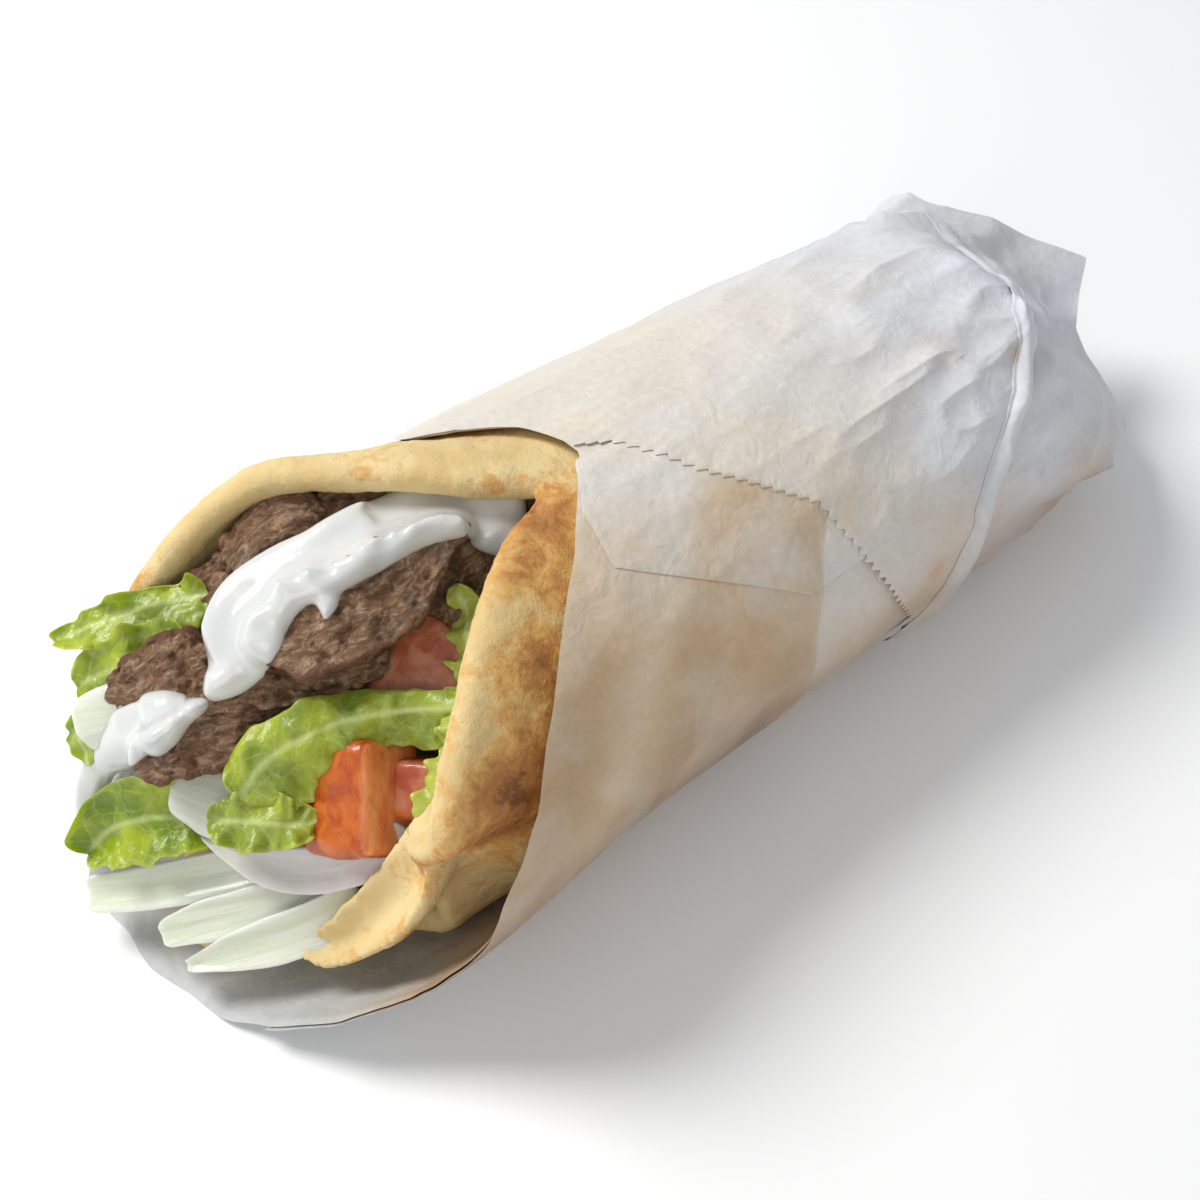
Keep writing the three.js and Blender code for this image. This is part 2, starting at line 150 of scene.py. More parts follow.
def curve(points, count):
    """A smooth curve through the points: even places on it, its direction there, and its length."""
    p = np.asarray(points, float)
    p = np.vstack([2 * p[0] - p[1], p, 2 * p[-1] - p[-2]])
    fine = []
    for k in range(1, len(p) - 2):
        t = np.linspace(0, 1, 40, endpoint=False)[:, None]
        a, b, c, d = p[k - 1], p[k], p[k + 1], p[k + 2]
        squared = (2 * a - 5 * b + 4 * c - d) * t**2
        cubed = (3 * b - a - 3 * c + d) * t**3
        fine.append(0.5 * (2 * b + (c - a) * t + squared + cubed))
    fine = np.vstack(fine + [p[-2:-1]])
    step = np.linalg.norm(np.diff(fine, axis=0), axis=1)
    run = np.concatenate([[0], np.cumsum(step)])
    at = np.linspace(0, run[-1], count)
    places = np.stack([np.interp(at, run, fine[:, axis]) for axis in range(3)], -1)
    return places, unit(np.gradient(places, axis=0)), run[-1]


# ---- the rolled section

def roll_point(x, degrees, out, pinch_share=1.0):
    """A point of the roll: x along it, degrees round it from the bottom, and out from its outer face."""
    x, angle, out = np.broadcast_arrays(np.asarray(x, float), np.radians(degrees), np.asarray(out, float))
    swell = ease(x, *SWELL["over"])
    pinch = pinch_share * ease(x, *PINCH["over"])
    flat = ease(x, *FLAT["over"])
    width = ROLL["half_width"] - ROLL["width_taper"] * x
    width = width + swell * SWELL["width"] - pinch * PINCH["width"]
    height = ROLL["half_height"] - ROLL["height_taper"] * x
    height = height + swell * SWELL["height"] - pinch * PINCH["height"]
    centre_y = (ROLL["centre_y"] + pinch * PINCH["sideways"]) * (1 - flat) + FLAT["y"] * flat
    centre_z = (height - ROLL["sink"]) * (1 - flat) + FLAT["z"] * flat
    across = -np.sin(angle) * (width * (1 - flat) + FLAT["half_width"] * flat + out)
    up = -np.cos(angle) * (height * (1 - flat) + FLAT["half_height"] * flat + out)
    tilt = np.radians(FLAT["tilt"]) * flat
    y = centre_y + across * np.cos(tilt) - up * np.sin(tilt)
    z = centre_z + across * np.sin(tilt) + up * np.cos(tilt)
    return np.stack([x, y, np.maximum(z, np.maximum(-out, FLOOR_GAP))], -1)


def lip_rise(x, degrees):
    """How far the far lip stands out of the plain roll."""
    total = 0
    for bulge in (LIP, CROWN):
        along = (x - bulge["x"]) / bulge["length"]
        around = half_turn(degrees - bulge["angle"]) / bulge["spread"]
        total = total + bulge["flare"] * np.exp(-(along**2) - around**2)
    return total


def bread_point(x, degrees, out):
    turn = half_turn(degrees)
    tuck = TUCK["depth"] * ease(x, *TUCK["over"]) * ease(turn, *TUCK["low"]) * ease(turn, *TUCK["high"])
    slack = SLACK["depth"] * ease(x, *SLACK["over"])
    return roll_point(x, degrees, out + lip_rise(x, degrees) - tuck - slack)


def mean_radius(x, out):
    side = roll_point(x, -90, out)[..., 1]
    top = roll_point(x, 180, out)[..., 2]
    return (side - ROLL["centre_y"] + top / 2) / 2


# ---- meshes

def quads(index):
    """The faces between neighbours in a grid of vertex numbers."""
    return np.stack([index[:-1, :-1], index[1:, :-1], index[1:, 1:], index[:-1, 1:]], -1).reshape(-1, 4)


def facing_out(vertices, faces):
    """The faces, turned to look out of the closed shape."""
    a, b, c, d = (vertices[faces[:, k]] for k in range(4))
    centre = vertices.mean(0)
    volume = np.einsum("ij,ij->i", (a + b + c + d) / 4 - centre, np.cross(c - a, d - b)).sum()
    return faces if volume > 0 else faces[:, ::-1]


def closed_shell(top, bottom):
    """Vertices and faces of the closed shell between two grids, which meet half way at their borders."""
    rows, cols = top.shape[:2]
    upper = np.arange(rows * cols).reshape(rows, cols)
    lower = upper.copy()
    lower[1:-1, 1:-1] = rows * cols + np.arange((rows - 2) * (cols - 2)).reshape(rows - 2, cols - 2)
    border = (top + bottom) / 2
    vertices = top.copy()
    for edge in (np.s_[0, :], np.s_[-1, :], np.s_[:, 0], np.s_[:, -1]):
        vertices[edge] = border[edge]
    vertices = np.vstack([vertices.reshape(-1, 3), bottom[1:-1, 1:-1].reshape(-1, 3)])
    faces = np.vstack([quads(upper), quads(lower)[:, ::-1]])
    return vertices, facing_out(vertices, faces)


def on_shell(grid):
    """The values of a grid at the vertices that closed_shell makes."""
    return np.concatenate([part.reshape(-1, *grid.shape[2:]) for part in (grid, grid[1:-1, 1:-1])])


def two_sided(rows, cols, above, below):
    """One value for the top grid's vertices and another for the bottom's, in closed_shell's order."""
    return np.repeat([above, below], [rows * cols, (rows - 2) * (cols - 2)])


def vertex_normals(vertices, faces):
    a, b, c, d = (vertices[faces[:, k]] for k in range(4))
    normal = np.cross(c - a, d - b)
    total = np.zeros_like(vertices)
    for k in range(4):
        np.add.at(total, faces[:, k], normal)
    return unit(total)


def swell_out(vertices, faces, height):
    return vertices + vertex_normals(vertices, faces) * np.asarray(height)[:, None]


CREASE = math.radians(70)


def placed(name, data):
    made = bpy.data.objects.new(name, data)
    bpy.context.scene.collection.objects.link(made)
    return made


def packed(kind, number):
    """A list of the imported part's solid of this kind and number, empty if it has none."""
    name = f"{kind}_{number}"
    return [name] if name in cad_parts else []


def piece(name, vertices, faces, finish, slot, replaces=(), crisp=False, **fields):
    """A smooth-shaded piece, with creases if crisp. Each field is a value or vector for every vertex."""
    mesh = bpy.data.meshes.new(name)
    mesh.vertices.add(len(vertices))
    mesh.vertices.foreach_set("co", (np.asarray(vertices) * MM).astype(np.float32).ravel())
    mesh.loops.add(faces.size)
    mesh.loops.foreach_set("vertex_index", faces.astype(np.int32).ravel())
    mesh.polygons.add(len(faces))
    mesh.polygons.foreach_set("loop_start", np.arange(0, faces.size, faces.shape[1], dtype=np.int32))
    mesh.update(calc_edges=True)
    mesh.polygons.foreach_set("use_smooth", np.ones(len(faces), bool))
    if crisp:
        mesh.set_sharp_from_angle(angle=CREASE)
    for field, values in fields.items():
        vector = values.ndim == 2
        made = mesh.attributes.new(field, "FLOAT_VECTOR" if vector else "FLOAT", "POINT")
        made.data.foreach_set("vector" if vector else "value", values.astype(np.float32).ravel())
    mesh.materials.append(finish)
    made = placed(name, mesh)
    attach(made, "root")
    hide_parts(*replaces)


def stacked(shapes):
    """Several shapes' vertices and faces as one list of each."""
    starts = np.cumsum([0] + [len(vertices) for vertices, _ in shapes[:-1]])
    faces = [quads + start for (_, quads), start in zip(shapes, starts)]
    return np.vstack([vertices for vertices, _ in shapes]), np.vstack(faces)


def run_together(shapes):
    mesh = bpy.data.meshes.new("run_together")
    vertices, faces = stacked(shapes)
    mesh.from_pydata((vertices * MM).tolist(), [], faces.tolist())
    return mesh


def evened(mesh, voxel, passes):
    """The mesh remade of even squares, voxel millimetres wide, and softened: its vertices and faces."""
    made = placed("evened", mesh)
    remesh = made.modifiers.new("even", "REMESH")
    remesh.mode = "VOXEL"
    remesh.voxel_size = voxel * MM
    smooth = made.modifiers.new("soften", "SMOOTH")
    smooth.iterations = passes
    graph = bpy.context.evaluated_depsgraph_get()
    even = bpy.data.meshes.new_from_object(made.evaluated_get(graph))
    bpy.data.objects.remove(made)
    vertices = np.empty(len(even.vertices) * 3, np.float32)
    even.vertices.foreach_get("co", vertices)
    faces = np.empty(len(even.loops), np.int32)
    even.loops.foreach_get("vertex_index", faces)
    return vertices.reshape(-1, 3).astype(float) / MM, faces.reshape(-1, 4)


def nearest(points, targets):
    """For each target, which of the points is nearest to it."""
    tree = KDTree(len(points))
    for k, point in enumerate(points):
        tree.insert(point, k)
    tree.balance()
    return np.array([tree.find(target)[1] for target in targets])


# ---- finishes

def colour(red, green, blue):
    """A colour picked on a screen, from 0 to 255, as the renderer's linear colour."""
    shares = [c / 255 for c in (red, green, blue)]
    return [s / 12.92 if s <= 0.04045 else ((s + 0.055) / 1.055) ** 2.4 for s in shares] + [1.0]


class Finish:
    """A Principled material, and short calls for the nodes that drive it."""

    def __init__(self, name):
        self.material = bpy.data.materials.new(name)
        self.material.use_nodes = True
        self.tree = self.material.node_tree
        self.shader = self.tree.nodes["Principled BSDF"]
        place = self.node("TexCoord", out="Object")
        self.place = self.node("VectorMath", {0: place, "Scale": 1 / MM}, operation="SCALE")

    def node(self, kind, inputs=None, out=0, **settings):
        made = self.tree.nodes.new("ShaderNode" + kind)
        for key, value in settings.items():
            setattr(made, key, value)
        self.feed(made, inputs or {})
        return made.outputs[out]

    def feed(self, node, inputs):
        for key, value in inputs.items():
            if isinstance(value, bpy.types.NodeSocket):
                self.tree.links.new(value, node.inputs[key])
            else:
                node.inputs[key].default_value = value

    def set(self, **inputs):
        self.feed(self.shader, {key.replace("_", " "): value for key, value in inputs.items()})

    def glow(self, weight, radius, scale):
        """How light spreads under the surface, with its reach in red, green and blue."""
        self.set(Subsurface_Weight=weight, Subsurface_Radius=radius, Subsurface_Scale=scale)

    def coat(self, weight, roughness):
        self.set(Coat_Weight=weight, Coat_Roughness=roughness)

    def field(self, name):
        return self.node("Attribute", out="Fac", attribute_name=name)

    def vector_field(self, name):
        return self.node("Attribute", out="Vector", attribute_name=name)

    def noise(self, size, detail=3.0, rough=0.5, vector=None, stretch=None, twist=0.0):
        vector = vector or self.place
        if stretch:
            vector = self.node("VectorMath", {0: vector, 1: stretch}, operation="MULTIPLY")
        return self.node("TexNoise", {"Vector": vector, "Scale": 1 / size, "Detail": detail,
                                      "Roughness": rough, "Distortion": twist})

    def cells(self, size, vector=None, feature="DISTANCE_TO_EDGE"):
        return self.node("TexVoronoi", {"Vector": vector or self.place, "Scale": 1 / size}, feature=feature)

    def span(self, value, low, high, start=0.0, end=1.0):
        return self.node("MapRange", {"Value": value, "From Min": low, "From Max": high,
                                      "To Min": start, "To Max": end}, interpolation_type="SMOOTHSTEP")

    def maths(self, operation, a, b=0.0):
        return self.node("Math", {0: a, 1: b}, operation=operation)

    def mix(self, share, a, b, blend="MIX"):
        return self.node("Mix", {0: share, 6: a, 7: b}, out=2, data_type="RGBA", blend_type=blend)

    def ramp(self, value, *stops):
        output = self.node("ValToRGB", {"Fac": value})
        elements = output.node.color_ramp.elements
        while len(elements) < len(stops):
            elements.new(0.5)
        for element, (at, shade) in zip(elements, stops):
            element.position = at
            element.color = shade
        return output

    def relief(self, height, depth, normal=None):
        """Bump whose height runs over depth millimetres."""
        inputs = {"Height": height, "Strength": 1.0, "Distance": depth * MM}
        if normal:
            inputs["Normal"] = normal
        return self.node("Bump", inputs)


def bread_finish():
    f = Finish("toasted_bread")
    broad = f.noise(15, 4, 0.55, twist=0.6)
    patchy = f.noise(5.0, 5, 0.65, twist=0.5)
    speck = f.noise(1.2, 4, 0.7)
    heat = f.field("toast")
    for cloud, weight in ((broad, 1.1), (patchy, 1.3), (speck, 0.55)):
        heat = f.maths("ADD", heat, f.maths("MULTIPLY", f.maths("SUBTRACT", cloud, 0.5), weight))
    pale = f.mix(f.span(broad, 0.35, 0.65), colour(218, 190, 132), colour(228, 206, 154))
    shade = f.mix(f.span(heat, 0.12, 0.52), pale, colour(214, 166, 96))
    shade = f.mix(f.span(heat, 0.42, 0.8), shade, colour(182, 124, 68))
    shade = f.mix(f.span(heat, 0.76, 1.15), shade, colour(128, 80, 44))
    burn = f.maths("ADD", f.field("char"), f.maths("MULTIPLY", speck, 0.5))
    shade = f.mix(f.span(burn, 0.62, 0.95), shade, colour(60, 28, 18))
    f.set(Base_Color=shade, Roughness=f.span(heat, 0.3, 1.0, 0.78, 0.6), Specular_IOR_Level=0.3)
    f.glow(0.1, (0.004, 0.002, 0.001), 0.3)
    pores = f.span(f.cells(0.75, feature="F1"), 0.0, 0.35)
    normal = f.relief(pores, 0.05)
    normal = f.relief(f.noise(0.5, 4, 0.7), 0.1, normal)
    f.set(Normal=f.relief(f.noise(3, 4, 0.6), 0.45, normal))
    return f.material


def paper_finish():
    f = Finish("deli_paper")
    blotch = f.noise(15, 3, 0.5, twist=0.3)
    fibre = f.noise(1.6, 5, 0.7)
    cool = colour(218, 221, 227)
    cream = colour(224, 215, 200)
    beige = colour(210, 180, 140)
    shade = f.mix(f.field("cream"), cool, cream)
    warm = f.maths("MULTIPLY", f.field("warm"), f.span(blotch, 0.25, 0.7, 0.55, 1.1))
    shade = f.mix(warm, shade, beige)
    # painted shade: brown-grey on the paper's low near side, where the low_shade field says
    low_shade = f.maths("MULTIPLY", f.field("low_shade"), f.span(blotch, 0.3, 0.7, 0.75, 1.1))
    shade = f.mix(low_shade, shade, colour(146, 122, 104))
    # painted shade: grey on the tongue of paper at the mouth
    shade = f.mix(f.field("tongue_shade"), shade, colour(178, 180, 178))
    shade = f.mix(f.field("grease"), shade, colour(208, 154, 104))
    mottle = f.span(fibre, 0.3, 0.75, 0.93, 1.03)
    shade = f.mix(1.0, shade, f.node("CombineColor", {0: mottle, 1: mottle, 2: mottle}), "MULTIPLY")
    f.set(Base_Color=shade, Roughness=f.span(fibre, 0.3, 0.7, 0.42, 0.58), Specular_IOR_Level=0.4)
    f.glow(0.1, (0.002, 0.002, 0.002), 0.3)
    normal = f.relief(f.noise(0.7, 4, 0.7), 0.05)
    f.set(Normal=f.relief(f.noise(4.5, 3, 0.5, twist=1.2), 0.3, normal))
    return f.material


def meat_finish():
    f = Finish("roast_meat")
    grain = f.vector_field("grain")
    fibres = f.noise(1.4, 5, 0.75, vector=grain, stretch=(0.55, 1, 1), twist=0.9)
    coarse = f.noise(1.1, 6, 0.82)
    lumps = f.noise(5, 4, 0.6)
    shade = f.ramp(fibres, (0.32, colour(84, 54, 36)), (0.5, colour(154, 114, 82)),
                   (0.66, colour(222, 190, 156)))
    shade = f.mix(f.span(lumps, 0.45, 0.75, 0.0, 0.55), shade, colour(164, 118, 84))
    shade = f.mix(f.span(lumps, 0.5, 0.25, 0.0, 0.5), shade, colour(148, 130, 118))
    # crust: browned edges on the slices; on the meat core it is painted shade, since the core shows only in
    # the gaps
    crust = f.maths("ADD", f.field("crust"), f.maths("MULTIPLY", f.maths("SUBTRACT", coarse, 0.5), 0.9))
    shade = f.mix(f.span(crust, 0.35, 0.9, 0.0, 0.85), shade, colour(122, 74, 48))
    shade = f.mix(f.span(coarse, 0.58, 0.76, 0.0, 0.7), shade, colour(208, 178, 146))
    # painted shade: near black-brown in the hollows of the coarse bump
    shade = f.mix(f.span(coarse, 0.44, 0.28, 0.0, 0.8), shade, colour(54, 32, 24))
    f.set(Base_Color=shade, Roughness=f.span(coarse, 0.3, 0.7, 0.58, 0.36), Specular_IOR_Level=0.5)
    normal = f.relief(f.noise(0.45, 3, 0.7), 0.15)
    normal = f.relief(coarse, 0.8, normal)
    f.set(Normal=f.relief(fibres, 0.7, normal))
    return f.material


def leaf_finish():
    f = Finish("lettuce_leaf")
    leaf = f.vector_field("grain")
    patch = f.noise(7, 3, 0.5)
    shade = f.mix(f.span(patch, 0.35, 0.65), colour(106, 132, 8), colour(160, 176, 30))
    shade = f.mix(f.field("pale"), shade, colour(208, 212, 104))
    net = f.cells(3.6, vector=f.node("VectorMath", {0: leaf, 1: (0.75, 1, 1)}, operation="MULTIPLY"))
    fine = f.cells(1.3, vector=leaf)
    vein = f.maths("MAXIMUM", f.span(net, 0.05, 0.01, 0.0, 0.14), f.span(fine, 0.05, 0.01, 0.0, 0.05))
    vein = f.maths("MAXIMUM", vein, f.field("vein"))
    shade = f.mix(vein, shade, colour(222, 232, 160))
    # painted shade: darker green the deeper a piece lies in the filling
    shade = f.mix(f.span(f.field("deep"), 0.0, 1.0, 0.0, 0.75), shade, colour(70, 102, 16))
    f.set(Base_Color=shade, Roughness=0.3, Specular_IOR_Level=0.5)
    f.glow(0.3, (0.003, 0.004, 0.0006), 0.5)
    f.set(Normal=f.relief(f.noise(2.4, 4, 0.6), 0.4, f.relief(f.maths("MULTIPLY", vein, -1.0), 0.15)))
    return f.material


def onion_finish():
    f = Finish("onion_flesh")
    grain = f.vector_field("grain")
    lines = f.noise(1.1, 3, 0.6, vector=grain, stretch=(0.06, 1, 1))
    shade = f.mix(f.span(lines, 0.3, 0.7), colour(224, 230, 206), colour(236, 240, 222))
    # painted highlight: the strips' edges drawn lighter for a glassy look
    shade = f.mix(f.field("rim"), shade, colour(246, 247, 238))
    shade = f.mix(f.field("lilac"), shade, colour(228, 220, 224))
    f.set(Base_Color=shade, Roughness=0.22, Transmission_Weight=0.12, IOR=1.36)
    f.glow(0.5, (0.005, 0.005, 0.004), 0.8)
    f.coat(0.5, 0.1)
    f.set(Normal=f.relief(f.noise(0.8, 4, 0.65), 0.16, f.relief(lines, 0.16)))
    return f.material


def tomato_finish():
    f = Finish("tomato_flesh")
    grain = f.vector_field("grain")
    streaks = f.noise(2.2, 4, 0.6, vector=grain, stretch=(1, 1, 0.25))
    cloud = f.noise(4.5, 4, 0.55, twist=0.5)
    wet = f.mix(f.span(cloud, 0.3, 0.7), colour(168, 62, 18), colour(208, 110, 34))
    cut = f.mix(f.span(streaks, 0.3, 0.7), colour(224, 124, 70), colour(240, 164, 104))
    skin = f.mix(f.span(cloud, 0.35, 0.7), colour(180, 90, 62), colour(212, 140, 108))
    shade = f.mix(f.field("cut"), wet, cut)
    shade = f.mix(f.field("skin"), shade, skin)
    f.set(Base_Color=shade, Roughness=f.span(cloud, 0.3, 0.7, 0.2, 0.32))
    f.glow(0.2, (0.004, 0.002, 0.001), 0.4)
    f.coat(0.35, 0.1)
    f.set(Normal=f.relief(f.noise(2.0, 4, 0.6), 0.2, f.relief(f.noise(0.6, 3, 0.6), 0.08)))
    return f.material


def sauce_finish():
    f = Finish("garlic_sauce")
    cloud = f.noise(6, 3, 0.5)
    shade = f.mix(f.span(cloud, 0.3, 0.7), colour(212, 214, 214), colour(220, 220, 216))
    f.set(Base_Color=shade, Roughness=f.span(cloud, 0.3, 0.7, 0.12, 0.2))
    f.glow(0.25, (0.004, 0.004, 0.0035), 0.6)
    f.coat(0.4, 0.06)
    f.set(Normal=f.relief(f.noise(1.6, 3, 0.5), 0.05))
    return f.material


BREAD = bread_finish()
PAPER = paper_finish()
MEAT = meat_finish()
LEAF = leaf_finish()
ONION = onion_finish()
TOMATO = tomato_finish()
SAUCE = sauce_finish()


def near(points, spots):
    """How strongly each point lies in one of the spots, each (x, y, z, radius, strength)."""
    total = np.zeros(len(points))
    for x, y, z, radius, strength in spots:
        away = np.linalg.norm(points - np.array([x, y, z]), axis=1) / radius
        total = np.maximum(total, strength * np.exp(-(away**2)))
    return total


# ---- bread

# The toasted and the charred places: x, y, z, radius, strength.
TOASTED = ((-18, -5, 67, 7, 0.55), (-28, -13, 67, 6, 0.5), (-34, -25, 62, 7, 0.5), (-45, -35, 56, 8, 0.6),
           (-50, -38, 53, 8, 0.85), (-54, -42, 46, 9, 0.9), (-21, -12, 66, 6, 0.4), (-61, -41, 44, 8, 0.5),
           (-39, 34, 59, 5, 0.5), (-14, 18, 64, 5, 0.3), (-70, 42, 46, 6, 0.35), (-51, 38, 57, 4, 0.4),
           (-80, -24, 12, 3.5, 0.5), (-75, -29, 15, 4, 0.45), (-68, -34, 23, 5, 0.5),
           (-72, -26, 19, 2, 0.25), (-62, -35, 33, 5, 0.45))
CHARRED = ((-17.5, -3, 67, 2.4, 0.5), (-55, -43, 43, 2.2, 1.1), (-79, -26, 12, 1.6, 0.8),
           (-75.5, -29.5, 14.5, 1.3, 0.7), (-71, -33, 19, 1.0, 0.5))


def rim_radius(rim_angle):
    pleat = PLEAT["depth"] * np.exp(-(((np.abs(rim_angle) - PLEAT["at"]) / PLEAT["spread"]) ** 2))
    return PITA["radius"] * (1 - pleat)


def bread_sheet():
    """The round bread laid on the roll: its vertices, faces, and how much each vertex is baked."""
    rows, cols = 180, 200
    degrees = 178.5 - 177 * np.linspace(0, 1, rows)[:, None] ** 1.15
    radius = rim_radius(degrees)
    across = np.sin(np.linspace(-1, 1, cols) * np.pi / 2)[None, :]
    x = PITA["centre_x"] + radius * np.cos(np.radians(degrees)) + 0 * across
    arc = radius * np.sin(np.radians(degrees)) * across
    from_middle = np.hypot(x - PITA["centre_x"], arc)
    rim_angle = np.degrees(np.arctan2(arc, x - PITA["centre_x"]))
    rim = rim_radius(rim_angle)
    inward = np.maximum(rim - from_middle, 0)
    shorter = (table(NEAR_CUT, rim_angle) - table(FAR_REACH, -rim_angle)) / rim
    scale = 1 + (0.008 * wobble(rim_angle, 14, 3) - shorter) * ease(from_middle, 40, 100)
    x = PITA["centre_x"] + (x - PITA["centre_x"]) * scale
    arc = arc * scale + PITA["slide"]
    turn = np.degrees(arc / mean_radius(x, PITA["depth"]))
    half = PITA["thickness"] / 2 * rounded(inward, RIM_ROUND)
    wave = 0.8 * wobble(rim_angle, 9, 5) * ease(inward, 16, 0) * ease(x, 0, -20)
    middle = PITA["depth"] + wave
    vertices, faces = closed_shell(bread_point(x, turn, middle + half), bread_point(x, turn, middle - half))
    outside = two_sided(rows, cols, 1.0, 0.0)
    near_side = on_shell(ease(turn, 60, 100) * ease(x, 0, -10))
    by_paper = on_shell(ease(x - mouth_edge(turn), -24, -4))
    low_side = on_shell(ease(turn, 140, 105))
    baked = near_side * outside * (0.1 + 0.14 * by_paper + 0.12 * low_side) - 0.12 * (1 - outside)
    return vertices, faces, baked


# The near rim's curl, from inside the rim down to the corner: its outer edge and its inner ridge.
CURL_EDGE = ((-54, -28, 54), (-57, -30, 49.5), (-60.6, -31.5, 43), (-63, -33, 37), (-65.5, -34, 31),
             (-69, -33, 24.5), (-73.5, -30, 19), (-78.5, -26, 14.5), (-81.5, -21, 12.5), (-82, -16.5, 14))
CURL_RIDGE = ((-49, -25, 53), (-51, -25, 50), (-54, -24.5, 45), (-58.3, -24, 39.5), (-62.7, -23, 34),
              (-67, -22, 28.5), (-71.5, -21, 24), (-75.5, -20.3, 20.5), (-78, -19.3, 18), (-80, -18, 16))
CURL = dict(sag=4.8, thickness=4.6, taper=45, rows=70, cols=36)


def bread_curl():
    """The dished strip between the curl's two edges, rounded over both of them."""
    low, ahead, _ = curve(CURL_EDGE, CURL["rows"])
    high, _, _ = curve(CURL_RIDGE, CURL["rows"])
    s = np.sin(np.linspace(0, 1, CURL["cols"]) * np.pi - np.pi / 2) * 0.5 + 0.5
    down = unit(np.cross(ahead, unit(high - low)))
    down = np.where(down[:, 2:] > 0, -down, down)
    u = np.linspace(0, 1, CURL["rows"])
    depth = CURL["sag"] * ease(u, 0, 0.25)[:, None] * np.sin(np.pi * s)[None, :]
    middle = low[:, None] + (high - low)[:, None] * s[None, :, None] + down[:, None] * depth[..., None]
    span = np.linalg.norm(high - low, axis=1)[:, None]
    inward = np.minimum(s, 1 - s)[None, :] * span
    inward = np.minimum(inward, (np.minimum(u, 1 - u) * CURL["taper"])[:, None])
    half = CURL["thickness"] / 2
    lift = down[:, None] * (half * rounded(inward, half))[..., None]
    vertices, faces = closed_shell(middle - lift, middle + lift)
    return vertices, faces, np.full(len(vertices), -0.1)


def bread():
    sheet, curl = bread_sheet(), bread_curl()
    vertices, faces = evened(run_together([sheet[:2], curl[:2]]), 1.0, 5)
    which = nearest(np.vstack([sheet[0], curl[0]]), vertices)
    baked = np.concatenate([sheet[2], curl[2]])[which]
    rough = 0.28 * fractal(vertices, 6, 3, 11) + 0.12 * fractal(vertices, 1.6, 2, 12)
    vertices = swell_out(vertices, faces, rough + 0.15)
    toast = 0.08 + 0.75 * near(vertices, TOASTED) + baked
    piece("bread", vertices, faces, BREAD, "pita", ["pita"], toast=toast, char=near(vertices, CHARRED))


# ---- paper

def crumple(x, degrees):
    """How far the paper stands off the smooth roll, in millimetres."""
    base = roll_point(x, degrees, 0, PINCH["paper_share"])
    top = ease(base[..., 2], 25, 60)
    loose = 0.22 + ease(x, 20, 75) * (0.35 + 0.65 * top)
    broad = 2.0 * ridges(base, (26, 13, 13), 31) * loose
    small = 0.9 * ridges(base, (11, 6, 6), 32) * loose
    turn = np.radians(degrees)
    pleats = np.sin(9 * turn + 2.2 * noise(base, (40, 9, 9), 33)) * ease(x, 70, 108)
    tight = 1 - 0.75 * ease(x, 112, 135)
    loose_folds = (broad + small + 1.3 * pleats) * tight * 0.8 - 0.5 * loose
    return np.maximum(loose_folds, -1.5) + 0.15 * fractal(base, 4, 2, 34)


def paper_point(x, degrees, out):
    over_lip = 0.3 * lip_rise(x, degrees) * ease(x, 8, -8)
    loose = crumple(x, degrees) * ease(x, -110, -60)
    return roll_point(x, degrees, out + over_lip + loose, PINCH["paper_share"])


def mouth_edge(degrees):
    """x of the paper's edge; on the far side it laps over the bread's lip."""
    wrapped = half_turn(degrees)
    lap = 13 * np.exp(-(((wrapped + 142) / 13) ** 2))
    torn = 1.8 * wobble(wrapped, 12, 43) * ease(np.abs(wrapped), 70, 35)
    return table(MOUTH, wrapped) - lap + torn + 0.5 * wobble(wrapped, 6, 41)


# The layer edge that runs up the near side, the cut edge with fine teeth, the small flap's edge and
# the line of the raised fold: degrees, x. PATCH_TOP is where the top turn ends, in degrees.
PANEL_EDGE = ((40, 14), (60, 15), (79, 16), (102, 17), (124, 23), (148, 35), (181, 53), (200, 60))
CUT_EDGE = ((62, 49), (66, 50), (80, 44), (96, 38), (113, 33), (126, 29.5), (138, 27), (160, 11), (178, 2),
            (182, -4))
HEM_EDGE = ((117, 18), (126, 10), (140, -4), (150, -14), (165, -12), (178, -6))
FOLD_LINE = ((58, 49), (68, 51), (88, 56), (110, 63), (128, 75), (146, 88), (165, 97), (185, 102),
             (232, 108))
PATCH_TOP = 232
TOOTH = dict(pitch=2.3, depth=1.5)


